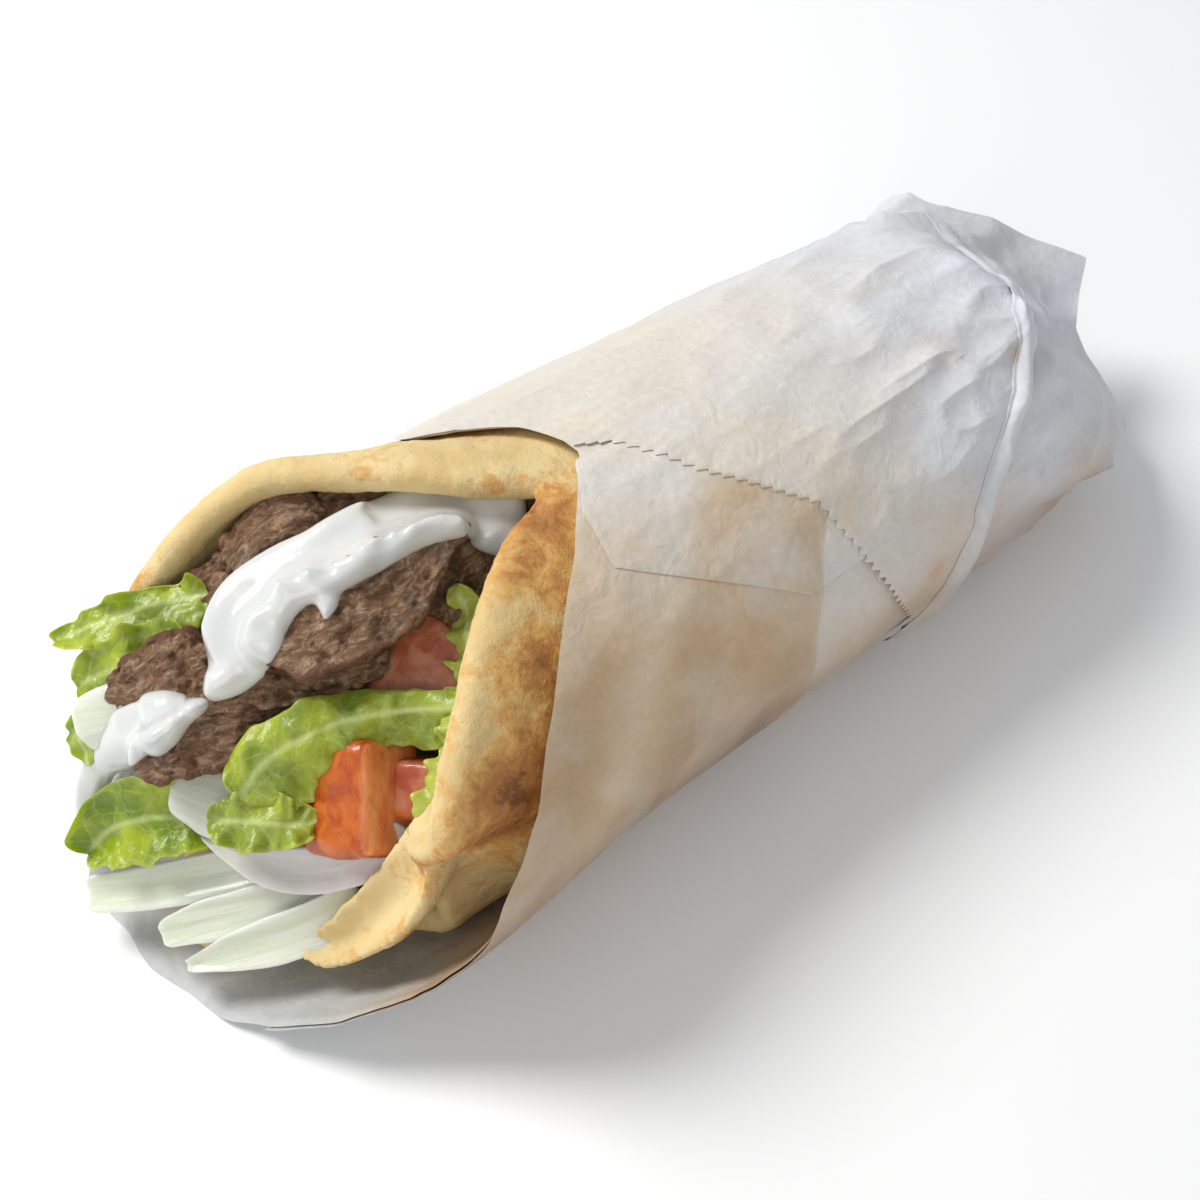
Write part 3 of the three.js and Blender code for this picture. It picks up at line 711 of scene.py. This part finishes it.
def paper_fields(vertices, x, degrees, extra=0.0):
    """The paper's tints at each vertex: where bread shows through it, where grease has soaked it, and
    painted shade on its low side and on the tongue at the mouth.
    """
    turn = degrees % 360
    panel = ease(table(PANEL_EDGE, turn) - x, -0.6, 0.6) * ease(turn, 30, 50) * ease(turn, 176, 150)
    under_cut = ease(x - table(CUT_EDGE, turn), 0.6, -0.6) * (turn < 181)
    low = ease(turn, 125, 70) * ease(turn, 15, 40)
    band = np.exp(-(((x - mouth_edge(turn) - 22) / 9) ** 2))
    cloud = 0.5 + 0.5 * fractal(vertices, 14, 3, 51)
    warm = 0.95 * panel * under_cut + 0.45 * low + 0.3 * cloud * ease(turn, 175, 120) - 0.45 * panel * band
    warm = warm + 0.12 * ease(turn, 300, 200) * (turn > 180)
    lower = 0.35 + 0.65 * ease(turn, 150, 95)
    # painted shade: darker on the low near side, and in the panel darker towards the bottom
    low_shade = 0.6 * low * ease(turn, 125, 70) + 0.45 * panel * under_cut * (1 - band) * lower * cloud
    cream = ease(x, 95, 20) * (0.5 + 0.5 * cloud)
    tongue_shade = ease(x, -45, -70) * ease(turn, 70, 40) + ease(x, -40, -60) * (turn > 200)
    warm = warm * (1 - tongue_shade)
    low_shade = low_shade * (1 - tongue_shade)
    cream = cream * (1 - 0.7 * tongue_shade)
    grease = near(vertices, ((83, -21, 56, 2.0, 0.8), (84.5, -19, 57, 1.3, 0.6), (48, -38, 36, 2.2, 0.9),
                             (63, -30, 46, 3.0, 0.25), (70, -15, 60, 4.0, 0.15)))
    # painted shade: how grey the tongue is drawn
    tongue_shade = np.clip(0.8 * tongue_shade * (0.6 + 0.6 * cloud), 0, 1)
    return dict(warm=np.clip(warm + extra, 0, 1), low_shade=np.clip(low_shade, 0, 1), cream=np.clip(cream, 0, 1),
                tongue_shade=tongue_shade, grease=grease)


def angles(start, end, count):
    return np.linspace(start, end, count)[None, :]


def between(left, right, count):
    """x in even rows from one edge to the other."""
    return left + (right - left) * np.linspace(0, 1, count)[:, None]


def paper_wrap():
    rows, cols = 190, 212
    degrees = angles(-180, 180, cols)
    x = between(mouth_edge(degrees), table(END_EDGE, np.sin(np.radians(degrees))), rows)
    outer = paper_point(x, degrees, 0.0 * x)
    inner = paper_point(x, degrees, -0.5 * (1 - 0.6 * ease(x, 100, 130)))
    ring = np.arange(rows * cols).reshape(rows, cols)
    ring[:, -1] = ring[:, 0]
    under = ring + rows * cols
    under[0] = ring[0]
    under[-1] = ring[-1]
    vertices = np.vstack([outer.reshape(-1, 3), inner.reshape(-1, 3)])
    faces = np.vstack([quads(ring), quads(under)[:, ::-1]])
    used = np.unique(faces)
    renumber = np.zeros(len(vertices), int)
    renumber[used] = np.arange(len(used))
    both = [np.concatenate([g.ravel(), g.ravel()])[used] for g in (x, degrees + 0 * x)]
    vertices, faces = vertices[used], renumber[faces]
    piece("paper_wrap_sheet", vertices, facing_out(vertices, faces), PAPER, "paper", ["paper_wrap"],
          crisp=True, **paper_fields(vertices, *both))


def paper_layer(name, x, degrees, out, thickness=0.22, extra=0.0):
    """A further turn of sheet, over the grid of places given by x and a row of degrees."""
    degrees = degrees + 0 * x
    out = out + 0 * x
    vertices, faces = closed_shell(paper_point(x, degrees, out + thickness), paper_point(x, degrees, out))
    piece(name, vertices, faces, PAPER, "paper", (), crisp=True,
          **paper_fields(vertices, on_shell(x), on_shell(degrees), extra))


def paper_layers():
    degrees = angles(58, PATCH_TOP, 420)
    share = np.linspace(0, 1, 46)[:, None]
    left = np.where(degrees < 182, table(CUT_EDGE, degrees), mouth_edge(degrees) - 0.6)
    step = np.hypot(np.diff(left[0]), np.diff(degrees[0]) * 0.65)
    run = np.concatenate([[0], np.cumsum(step)])
    tooth = TOOTH["depth"] * (2 * np.abs(run / TOOTH["pitch"] % 1 - 0.5) - 0.5) * (degrees[0] < 181)
    left = left + tooth[None, :]
    right = table(FOLD_LINE, degrees)
    x = left + np.maximum(right - left, 0.5) * share
    flush = (degrees > 182) * ease(x - left, 12, 0)
    paper_layer("paper_top_turn", x, degrees, 0.85 - 0.75 * flush, 0.3)

    degrees = angles(34, 186, 110)
    x = between(mouth_edge(degrees) - 0.7, table(PANEL_EDGE, degrees), 50)
    paper_layer("paper_near_turn", x, degrees, 0.3)

    degrees = angles(117, 178, 90)
    left = np.maximum(table(HEM_EDGE, degrees), mouth_edge(degrees) - 1.4)
    x = between(left, table(CUT_EDGE, degrees) + 4, 40)
    paper_layer("paper_hem_turn", x, degrees, 0.58, 0.2, extra=-0.3)

    degrees = angles(56, 214, 170)
    width = 3.3 + 1.2 * ease(degrees, 110, 60) - 1.3 * ease(degrees, 150, 200)
    side = np.linspace(-1, 1, 30)[:, None]
    jag = 0.8 * wobble(degrees, 5, 61)
    x = table(FOLD_LINE, degrees) + width * side + jag * np.abs(side)
    crest = 1.1 + 1.3 * np.clip(1 - ((side - 0.25) / 0.9) ** 2, 0, 1) * ease(degrees, 214, 180)
    paper_layer("paper_fold_strip", x, degrees, crest, 0.3, extra=-0.4)


# ---- strips of food

FRONT = (-0.3, -0.45, 0.84)
LEFT_FRONT = (-0.7, -0.4, 0.6)


def strip(spine, face, upper, lower, thick, rows, cols, square, ragged, seed, cup=0.0, ruffle=(0, 0),
          cap=4.0):
    """A strip along a smooth curve, with its broad side looking along face.

    upper and lower are its half widths at even steps along it, thick is at its middle, cup lifts
    its edges, ruffle is the length and height of the waves along them, ragged roughens the outline,
    and cap is how far from each end the outline starts to round off.
    """
    places, ahead, length = curve(spine, rows)
    look = unit(np.asarray(face, float))
    side = unit(np.cross(look, ahead))
    up = np.cross(ahead, side)
    run = np.linspace(0, length, rows)
    share = run / length
    close = rounded(np.minimum(run, length - run), cap)
    v = np.sin(np.linspace(-1, 1, cols) * np.pi / 2)[None, :]
    half_widths = []
    for k, widths in enumerate((upper, lower)):
        steps = np.linspace(0, 1, len(widths))
        smooth = softened(np.interp(share, steps, widths), 4)
        bite = 1 + ragged * (wobble(run, 4.5, seed + 7 * k + 1) + 0.6 * wobble(run, 1.6, seed + 7 * k + 2))
        half_widths.append((smooth * close * bite)[:, None])
    across = v * np.where(v > 0, half_widths[0], half_widths[1])
    thinness = (1 - np.abs(v) ** square) ** (1 / square)
    half = thick / 2 * thinness * (0.25 + 0.75 * close[:, None])
    flat = np.stack([run[:, None] + 0 * v, across, 0 * across], -1)
    wavelength, height = ruffle
    lift = cup * v**2
    if height:
        phase = 2 * np.pi * run[:, None] / wavelength + 1.5 * wobble(run, 6, seed + 31)[:, None]
        edge_wave = np.sin(phase + np.where(v > 0, 1.9, 0)) + 0.5 * np.sin(2.3 * phase + 1)
        lift = lift + height * np.abs(v) ** 1.7 * edge_wave
        lift = lift + 0.45 * height * fractal(flat, 5, 2, seed + 41)
    lift = (lift * close[:, None])[..., None]
    middle = places[:, None] + side[:, None] * across[..., None] + up[:, None] * lift
    top = middle + up[:, None] * half[..., None]
    bottom = middle - up[:, None] * half[..., None]
    vertices, faces = closed_shell(top, bottom)
    grain = on_shell(flat)
    grain[:, 2] = two_sided(rows, cols, 0.0, -thick)
    rim = on_shell(np.maximum(np.abs(v) + 0 * across, 1 - close[:, None] + 0 * v))
    return vertices, faces, grain, rim


MEAT_SLICES = (
    dict(spine=((-67, 11, 56), (-60, 6, 58), (-50, 2.5, 60), (-39, 2.5, 61.5), (-31, 4, 62.5),
         (-25, 5, 63)), face=(-0.15, -0.5, 0.85), upper=(3, 7, 9, 9, 8, 5, 2),
         lower=(2, 5.5, 7.5, 8, 6, 3, 1), thick=3.2, cup=0.4),
    dict(spine=((-56, 0, 44.5), (-46, -1, 46.5), (-34, 0, 50), (-23, 2, 53), (-12, 5, 57)),
         face=FRONT, upper=(5, 9, 10, 9, 8), lower=(2, 3.5, 4.5, 6.5, 5), thick=3.4,
         cup=0.6),
    dict(spine=((-52, 3, 42.5), (-40, 0, 44), (-26, -2, 47), (-16, -3, 49.5)), face=FRONT,
         upper=(4, 5, 6, 5), lower=(2, 3, 4, 4), thick=3.6, cup=0.5),
    dict(spine=((-77, 15, 45), (-67, 8.5, 47), (-56, 3, 47.5), (-46, 0, 47)), face=(-0.4, -0.5, 0.77),
         upper=(4, 6, 7, 6), lower=(2.5, 3.6, 3.8, 2), thick=3.6, cup=0.5),
    dict(spine=((-88, 17, 38), (-80, 11, 40), (-72, 7, 41), (-62, 5, 41.5)), face=(-0.5, -0.5, 0.7),
         upper=(4, 6, 6, 5), lower=(4, 4.5, 4, 2.5), thick=4.2, cup=0.4),
    dict(spine=((-86, 27, 38), (-78, 22, 43.5), (-68, 19, 48)), face=(-0.6, -0.4, 0.7),
         upper=(5, 8, 8, 6), lower=(5, 7.5, 8, 6), thick=3.6, cup=0.5),
    dict(spine=((-58, 29, 50), (-53, 29.5, 54.5), (-47, 28, 57.5), (-41, 25, 57)),
         face=(-0.6, -0.3, 0.74), upper=(5, 6.5, 6.5, 5), lower=(6, 8, 8, 6), thick=6, cup=-0.8),
    dict(spine=((-69, 31, 44), (-62, 31, 48.5), (-54, 30, 51)), face=(-0.6, -0.2, 0.78),
         upper=(4, 5.5, 5), lower=(4.5, 7, 7), thick=4),
    dict(spine=((-44, 27, 56), (-35, 24, 59), (-25, 18.5, 60.5), (-15, 12, 61), (-6, 6, 60)),
         face=FRONT, upper=(4, 5, 5, 5, 4), lower=(5, 6.5, 6.5, 6.5, 5), thick=4),
)


def meat_slices():
    """The slices, and the surfaces that the sauce lies on."""
    bases = []
    for k, sizes in enumerate(MEAT_SLICES):
        seed = 100 + 20 * k
        vertices, faces, grain, rim = strip(ragged=0.24, rows=86, cols=46, square=5, seed=seed, **sizes)
        fibres = fractal(grain + k * 50, (5, 1.8, 4), 3, seed)
        grit = fractal(vertices, 1.5, 2, seed + 2)
        pits = np.clip(fractal(vertices, 2.4, 3, seed + 3) - 0.25, 0, 1)
        lumps = fractal(vertices, 7, 2, seed + 5)
        vertices = swell_out(vertices, faces, 0.55 * fibres + 0.25 * grit - 1.9 * pits + 0.9 * lumps)
        piece(f"roast_slice_{k + 1}", vertices, faces, MEAT, "meat", packed("meat_slice", k + 1),
              grain=grain + k * 50, crust=0.9 * ease(rim, 0.72, 1.0))
        bases.append((vertices, faces))
    return bases


# deep is painted shade: how much darker a leaf is drawn for lying deeper in the filling.
LEAVES = (
    dict(spine=((-79, -1, 37), (-74, -0.5, 41), (-67, -2, 44.5), (-58, -6, 47), (-49, -12, 48),
         (-42, -18, 49)), face=(-0.35, -0.6, 0.72), upper=(4, 5.5, 5.5, 4, 3, 2.5),
         lower=(9, 11, 8, 6, 7, 6.5), thick=1.0, cup=-1.8, ruffle=(17, 1.1), pale=0.12, deep=0.0),
    dict(spine=((-31, 1, 55), (-33, -5, 52), (-39, -13, 50.5), (-47, -20, 47), (-54, -24.5, 43),
         (-61, -27, 37)), face=(-0.6, 0.2, 0.77), upper=(1.5, 4, 4.5, 3.5, 3.5, 3),
         lower=(1.5, 4.5, 4, 3.5, 4, 3), thick=1.1, ruffle=(6.5, 1.3), pale=0.45, deep=0.0),
    dict(spine=((-87, 45, 41), (-82, 42, 44), (-77, 39, 46), (-71, 35.5, 48), (-63, 30, 50)),
         face=(-0.5, -0.2, 0.84), upper=(1.5, 3, 3, 3, 4), lower=(1.5, 5, 7, 7, 6), thick=0.9, cup=1.2,
         ruffle=(15, 1.6), pale=0.1, deep=0.1),
    dict(spine=((-100, 22, 13), (-96, 20, 19), (-90, 15, 23.5), (-84.5, 9.5, 24.5), (-80, 4, 22)),
         face=(-0.6, -0.4, 0.69), upper=(3, 6, 8, 7, 2), lower=(2, 6, 8, 6, 1.5), thick=0.9, cup=3.0,
         ruffle=(19, 0.9), pale=0.0, deep=0.1),
    dict(spine=((-84, 2, 32), (-79, -4, 34), (-74, -9, 34), (-69, -11, 33)), face=FRONT,
         upper=(3, 5, 5, 2), lower=(3, 5.5, 5, 2), thick=1.0, ruffle=(7, 1.4), pale=0.2, deep=0.05),
    dict(spine=((-90, 33, 36), (-92, 30, 33), (-93, 27, 29)), face=(-0.8, -0.1, 0.6), upper=(2, 4, 2),
         lower=(2, 4, 2), thick=1.0, ruffle=(6, 0.5), pale=0.0, deep=0.2),
    dict(spine=((-88, 37, 37), (-84, 34, 40.5), (-78, 29, 43.5), (-70, 25, 47)),
         face=(-0.6, -0.3, 0.74), upper=(3, 6, 7, 6), lower=(3, 7, 8, 6), thick=0.9, cup=1.6,
         ruffle=(15, 1.3), pale=0.05, deep=0.15),
)


def leaf(k, pale, deep, **sizes):
    seed = 400 + 20 * k
    vertices, faces, grain, rim = strip(ragged=0.2, rows=100, cols=44, square=6, seed=seed, cap=3, **sizes)
    run, across = grain[:, 0], grain[:, 1]
    midrib = np.exp(-((across / 0.55) ** 2)) * ease(run, 0, 3)
    branch = np.abs(((run - 0.8 * np.abs(across) + 1.2 * wobble(run, 7, seed)) / 6.5) % 1 - 0.5)
    branches = np.exp(-((branch / 0.035) ** 2)) * ease(np.abs(across), 8, 2) * 0.7
    both_sides = np.stack([run, across, 0 * run], -1)
    crinkle = 0.75 * fractal(both_sides + 90, 5, 3, seed + 10)
    side = np.where(grain[:, 2] < 0, -1, 1)
    vertices = swell_out(vertices, faces, crinkle * side * ease(rim, 1.0, 0.8))
    piece(f"lettuce_leaf_{k + 1}", vertices, faces, LEAF, "lettuce", packed("lettuce", k + 1),
          grain=both_sides + 40 * k, vein=np.clip(midrib + 0.6 * branches, 0, 1) * 0.5,
          pale=np.clip(pale + 0.25 * ease(rim, 0.8, 1), 0, 1), deep=deep + 0 * run)


ONIONS = (
    dict(spine=((-83, 7, 22.5), (-81, 1, 22.5), (-78, -6, 22.5), (-73, -12, 23.5), (-66, -17, 26),
         (-58, -21, 29.5)), face=(-0.5, -0.55, 0.67), upper=(0.8, 2.8, 4, 4.4, 4.4, 4),
         lower=(0.8, 2.6, 4, 4.4, 4.4, 4), thick=3.4, cup=1.4, lilac=0.75),
    dict(spine=((-103, 18, 8), (-96, 11.5, 11), (-89, 6, 13.5), (-80, 0, 16), (-70, -5, 19.5),
         (-62, -8, 23)), face=(-0.5, -0.4, 0.77), upper=(3.4, 3.8, 4, 4, 4, 3.6),
         lower=(3.2, 3.8, 4.2, 4.2, 4, 3.6), thick=3.6, cup=1.5, lilac=0.05),
    dict(spine=((-97.5, 2.5, 8), (-91, -1, 10.5), (-84, -5.5, 12.5), (-76, -10, 15), (-68, -13, 18)),
         face=(-0.5, -0.45, 0.74), upper=(2.6, 3.8, 4.2, 4.2, 4), lower=(2.2, 3.8, 4.2, 4.2, 4),
         thick=3.0, cup=1.2, lilac=0.0),
    dict(spine=((-97, -4.5, 7), (-90, -9, 9.5), (-82, -14, 12.5), (-75, -17.5, 15.5), (-68, -19.5, 19)),
         face=(-0.45, -0.5, 0.74), upper=(1, 3.4, 4.6, 4.6, 4), lower=(1, 3, 4.2, 4.2, 3.5), thick=3.0,
         cup=1.3, lilac=0.0),
    dict(spine=((-84, 14, 30.5), (-81, 8, 30), (-77, 1, 28.5), (-74, -6, 27)), face=(-0.5, -0.4, 0.77),
         upper=(5, 7, 7.5, 4), lower=(5, 7, 7, 4), thick=2.4, cup=-1.0, lilac=0.15),
    dict(spine=((-92, 31, 35), (-88, 27.5, 37.5), (-82, 22, 38.5)), face=(-0.75, -0.3, 0.6),
         upper=(4, 6, 6), lower=(4, 6.5, 6), thick=2.8, cup=-0.8, lilac=0.0),
)


def onion(k, lilac, **sizes):
    seed = 700 + 20 * k
    vertices, faces, grain, rim = strip(ragged=0.02, rows=70, cols=30, square=5, cap=2.2, seed=seed,
                                        **sizes)
    vertices = swell_out(vertices, faces, 0.16 * fractal(grain + 70 * k, (14, 2.2, 4), 2, seed))
    # rim here sets a painted highlight along the strip's edges
    piece(f"onion_strip_{k + 1}", vertices, faces, ONION, "onion", packed("onion", k + 1),
          grain=grain + 60 * k, rim=0.8 * ease(rim, 0.8, 0.98), lilac=lilac * ease(grain[:, 0], 0, 12))


TOMATOES = (
    dict(at=(-61.5, -10.5, 32.5), size=(14.5, 15.5, 21), wet_face=(-0.78, -0.04, 0.63),
         cut_face=(0.4, -0.8, 0.44), wedge=0.05, seed=901, skin_side=(0, 0, -1)),
    dict(at=(-42, -5, 44), size=(9, 17, 19), wet_face=(-0.3, -0.35, 0.88), cut_face=(0.3, -0.9, -0.2),
         wedge=0.1, seed=902, skin_side=(-0.3, -0.3, 0.9)),
    dict(at=(-53, -17, 34), size=(9, 10, 11), wet_face=(-0.6, -0.3, 0.7), cut_face=(0.5, -0.8, 0.3),
         wedge=0.1, seed=903, skin_side=(0, 0, 1)),
)


def tomato(k, at, size, wet_face, cut_face, wedge, seed, skin_side):
    """A cut chunk with rounded edges; its wet face, cut flesh and skin look the ways given."""
    steps = 38
    line = np.linspace(-1, 1, steps)
    u, v = np.meshgrid(line, line, indexing="ij")
    one = np.ones_like(u)
    sides = [(one, u, v), (-one, v, u), (v, one, u), (u, -one, v), (u, v, one), (v, u, -one)]
    cloud = np.concatenate([np.stack(side, -1).reshape(-1, 3) for side in sides])
    grid = np.arange(steps * steps).reshape(steps, steps)
    faces = np.concatenate([quads(grid) + side * steps * steps for side in range(6)])
    _, first, place = np.unique(np.round(cloud, 5), axis=0, return_index=True, return_inverse=True)
    cloud, faces = cloud[first], place.reshape(-1)[faces]
    power = 7.0
    cloud = cloud / (np.abs(cloud) ** power).sum(1)[:, None] ** (1 / power)
    narrow = 1 - wedge * (cloud[:, :1] + 1) / 2
    local = cloud * np.concatenate([1 + 0 * narrow, narrow, narrow], 1) * np.array(size) / 2
    local = local + unit(cloud) * (0.45 * fractal(local, 6, 3, seed))[:, None]
    first_axis = unit(np.array(wet_face, float))
    third_axis = unit(np.cross(first_axis, cut_face))
    axes = np.array([first_axis, np.cross(third_axis, first_axis), third_axis])
    vertices = local @ axes + np.array(at)
    faces = facing_out(vertices, faces)
    normal = vertex_normals(vertices, faces)
    cut = ease(normal @ axes[1], 0.55, 0.8)
    skin = ease(normal @ unit(np.array(skin_side, float)), 0.55, 0.85)
    piece(f"tomato_chunk_{k + 1}", vertices, faces, TOMATO, "tomato", packed("tomato", k + 1),
          grain=local + 30, cut=cut, skin=skin)


# ---- packed filling

CORE_FRONT = -64


def core(node, name, finish, slot, voxel, shrink, sink, squeeze, back, bumps, seed, **fields):
    """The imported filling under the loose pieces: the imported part's own solid, drawn in and roughened."""
    vertices, faces = evened(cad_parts[node].data.copy(), voxel, 6)
    opening = ease(vertices[:, 0], -36, -58)
    vertices[:, 2] -= sink * opening * ease(vertices[:, 2], 8, 18)
    vertices[:, 1] -= squeeze * (vertices[:, 1] - ROLL["centre_y"]) * opening
    vertices[:, 0] += back * np.maximum(CORE_FRONT - vertices[:, 0], 0)
    vertices = swell_out(vertices, faces, bumps * fractal(vertices, 6, 3, seed) - shrink)
    piece(name, vertices, faces, finish, slot, [node], grain=vertices,
          **{key: np.full(len(vertices), value) for key, value in fields.items()})
    return vertices, faces


# ---- sauce

def poured(tree, spine, face, half_widths, thick, seed, rows=110, cols=30):
    """A ribbon of sauce laid on what is under it: thick at its middle, with a rounded edge."""
    places, ahead, length = curve(spine, rows)
    look = unit(np.asarray(face, float))
    side = unit(np.cross(look, ahead))
    run = np.linspace(0, length, rows)
    close = rounded(np.minimum(run, length - run), 3)
    widths = softened(np.interp(run / length, np.linspace(0, 1, len(half_widths)), half_widths), 6)
    widths = widths * close * (1 + 0.1 * wobble(run, 6, seed))
    v = np.sin(np.linspace(-1, 1, cols) * np.pi / 2)
    flat = places[:, None] + side[:, None] * (widths[:, None] * v)[..., None]
    reach = 16.0
    level = np.zeros((rows, cols))
    for r in range(rows):
        for c in range(cols):
            hit = tree.ray_cast(Vector(flat[r, c] + look * reach), Vector(-look), reach + 7)
            level[r, c] = -2.5 if hit[3] is None else reach - hit[3]
    smooth = level.copy()
    for step in range(24):
        padded = np.pad(smooth, 1, mode="edge")
        around = padded[:-2, 1:-1] + padded[2:, 1:-1] + padded[1:-1, :-2] + padded[1:-1, 2:]
        smooth = (around + 4 * smooth) / 8
        if step == 15:
            smooth = np.maximum(smooth, level)
    body = (1 - np.abs(v) ** 2.6)[None, :] ** 0.5 * close[:, None]
    along = run[:, None] + 0 * v
    swirl = fractal(np.stack([along, widths[:, None] * v, 0 * along], -1), (13, 6, 5), 2, seed + 1)
    top = np.maximum(smooth, level - 0.3) + thick * body * (1 + 0.3 * swirl)
    bottom = smooth - 1.0
    return closed_shell(flat + look * top[..., None], flat + look * bottom[..., None])


def melted(name, shapes, replaces):
    """The shapes run together into one smooth body of sauce."""
    vertices, faces = evened(run_together(shapes), 0.5, 14)
    piece(name, vertices, faces, SAUCE, "sauce", replaces)


def sauces(shapes):
    tree = BVHTree.FromPolygons(*(part.tolist() for part in stacked(shapes)))
    ribbon = poured(
        tree, face=FRONT, half_widths=(4, 6.5, 7, 6.5, 6.5, 7, 7, 6.5, 6.5, 7.5, 7.5, 4.5, 1.0), thick=2.7,
        spine=((-12, 5, 61), (-20, 8, 63), (-30, 11.5, 63), (-40, 13, 62.5), (-48, 14, 61.5), (-55, 16, 60),
               (-62, 15.5, 58), (-67, 13, 54.5), (-71, 12, 51), (-75, 12.5, 47.5)), seed=801)
    lobe = poured(tree, face=FRONT, half_widths=(5, 6, 5.5, 3), thick=2.6, seed=802, rows=40,
                  spine=((-21, 8, 62), (-20, 3, 61), (-21, -2, 59)))
    drip = poured(tree, face=FRONT, half_widths=(4, 2.4, 0.6), thick=1.6, seed=803, rows=40,
                  spine=((-50, 12, 60), (-51.5, 8, 59), (-54, 5, 58)))
    melted("sauce_ribbon", [ribbon, lobe, drip], ["sauce_1"])
    dollop = poured(
        tree, face=(-0.5, -0.45, 0.74), half_widths=(1.4, 2.0, 4.8, 5.8, 4.8), thick=3.6, seed=805, rows=60,
        spine=((-75, 11.5, 48), (-77.5, 13, 46.5), (-81, 15.5, 44.5), (-86, 19, 41)))
    smear = poured(
        tree, face=LEFT_FRONT, half_widths=(4.5, 5, 4.6, 3.4, 3.0, 3.0, 3.0), thick=2.6, seed=806, rows=90,
        spine=((-84, 18, 43), (-88, 21.5, 37.5), (-92, 26, 30), (-95, 27.5, 23), (-97, 27, 17),
               (-98.5, 25, 11)))
    melted("sauce_run", [dollop, smear], ["sauce_2"])


# ---- build

bread()
paper_wrap()
paper_layers()
slices = meat_slices()
# painted shade: crust and deep draw the cores darker, as they show only in the shaded gaps between the loose
# pieces
meat_core = core("meat_filling", "meat_core", MEAT, "meat", voxel=1.6, shrink=0.6, sink=4.0, squeeze=0.05,
                 back=0.2, bumps=1.3, seed=61, crust=0.8)
salad_core = core("salad_filling", "salad_core", LEAF, "lettuce", voxel=1.8, shrink=1.2, sink=8.0,
                  squeeze=0.3, back=0.5, bumps=1.6, seed=62, vein=0.0, pale=0.2, deep=0.5)
for make, table_of_sizes in ((tomato, TOMATOES), (leaf, LEAVES), (onion, ONIONS)):
    for k, sizes in enumerate(table_of_sizes):
        make(k, **sizes)
sauces([*slices, meat_core, salad_core])


# ---- floor, light and camera

# the place that the lamps point at
LIT = (0, 0, 0.03)
CAMERA = dict(azimuth=-39.5, elevation=50, distance=0.345, target=(0, 0, 0.028), lens=55, sensor=36)


def studio():
    plain = Finish("studio_floor")
    plain.set(Base_Color=colour(250, 250, 250), Roughness=0.9, Specular_IOR_Level=0.1)
    mesh = bpy.data.meshes.new("floor")
    half = 4.0
    corners = [(-half, -half, 0), (half, -half, 0), (half, half, 0), (-half, half, 0)]
    mesh.from_pydata(corners, [], [(0, 1, 2, 3)])
    mesh.materials.append(plain.material)
    placed("floor", mesh)

    world = bpy.data.worlds.new("soft_studio")
    bpy.context.scene.world = world
    world.use_nodes = True
    sky = world.node_tree.nodes["Background"]
    sky.inputs["Color"].default_value = (0.93, 0.96, 1.0, 1)
    sky.inputs["Strength"].default_value = 0.46

    def lamp(name, place, size, power, tint):
        light = bpy.data.lights.new(name, "AREA")
        light.shape = "DISK"
        light.size = size
        light.energy = power
        light.color = tint
        made = placed(name, light)
        made.location = place
        made.rotation_euler = (Vector(LIT) - Vector(place)).to_track_quat("-Z", "Y").to_euler()

    lamp("window", (-0.3, 0.5, 0.75), 0.45, 7.2, (1.0, 0.99, 0.97))
    lamp("bounce", (-0.7, -0.5, 0.5), 0.6, 1.7, (1.0, 0.96, 0.92))


def camera():
    azimuth, elevation = math.radians(CAMERA["azimuth"]), math.radians(CAMERA["elevation"])
    back = Vector((math.sin(azimuth) * math.cos(elevation), -math.cos(azimuth) * math.cos(elevation),
                   math.sin(elevation)))
    lens = bpy.data.cameras.new("camera")
    lens.lens = CAMERA["lens"]
    lens.sensor_width = CAMERA["sensor"]
    lens.clip_start = 0.01
    made = placed("camera", lens)
    made.location = Vector(CAMERA["target"]) + back * CAMERA["distance"]
    made.rotation_euler = (-back).to_track_quat("-Z", "Y").to_euler()
    bpy.context.scene.camera = made


studio()
camera()
bpy.context.scene.view_settings.view_transform = "Standard"
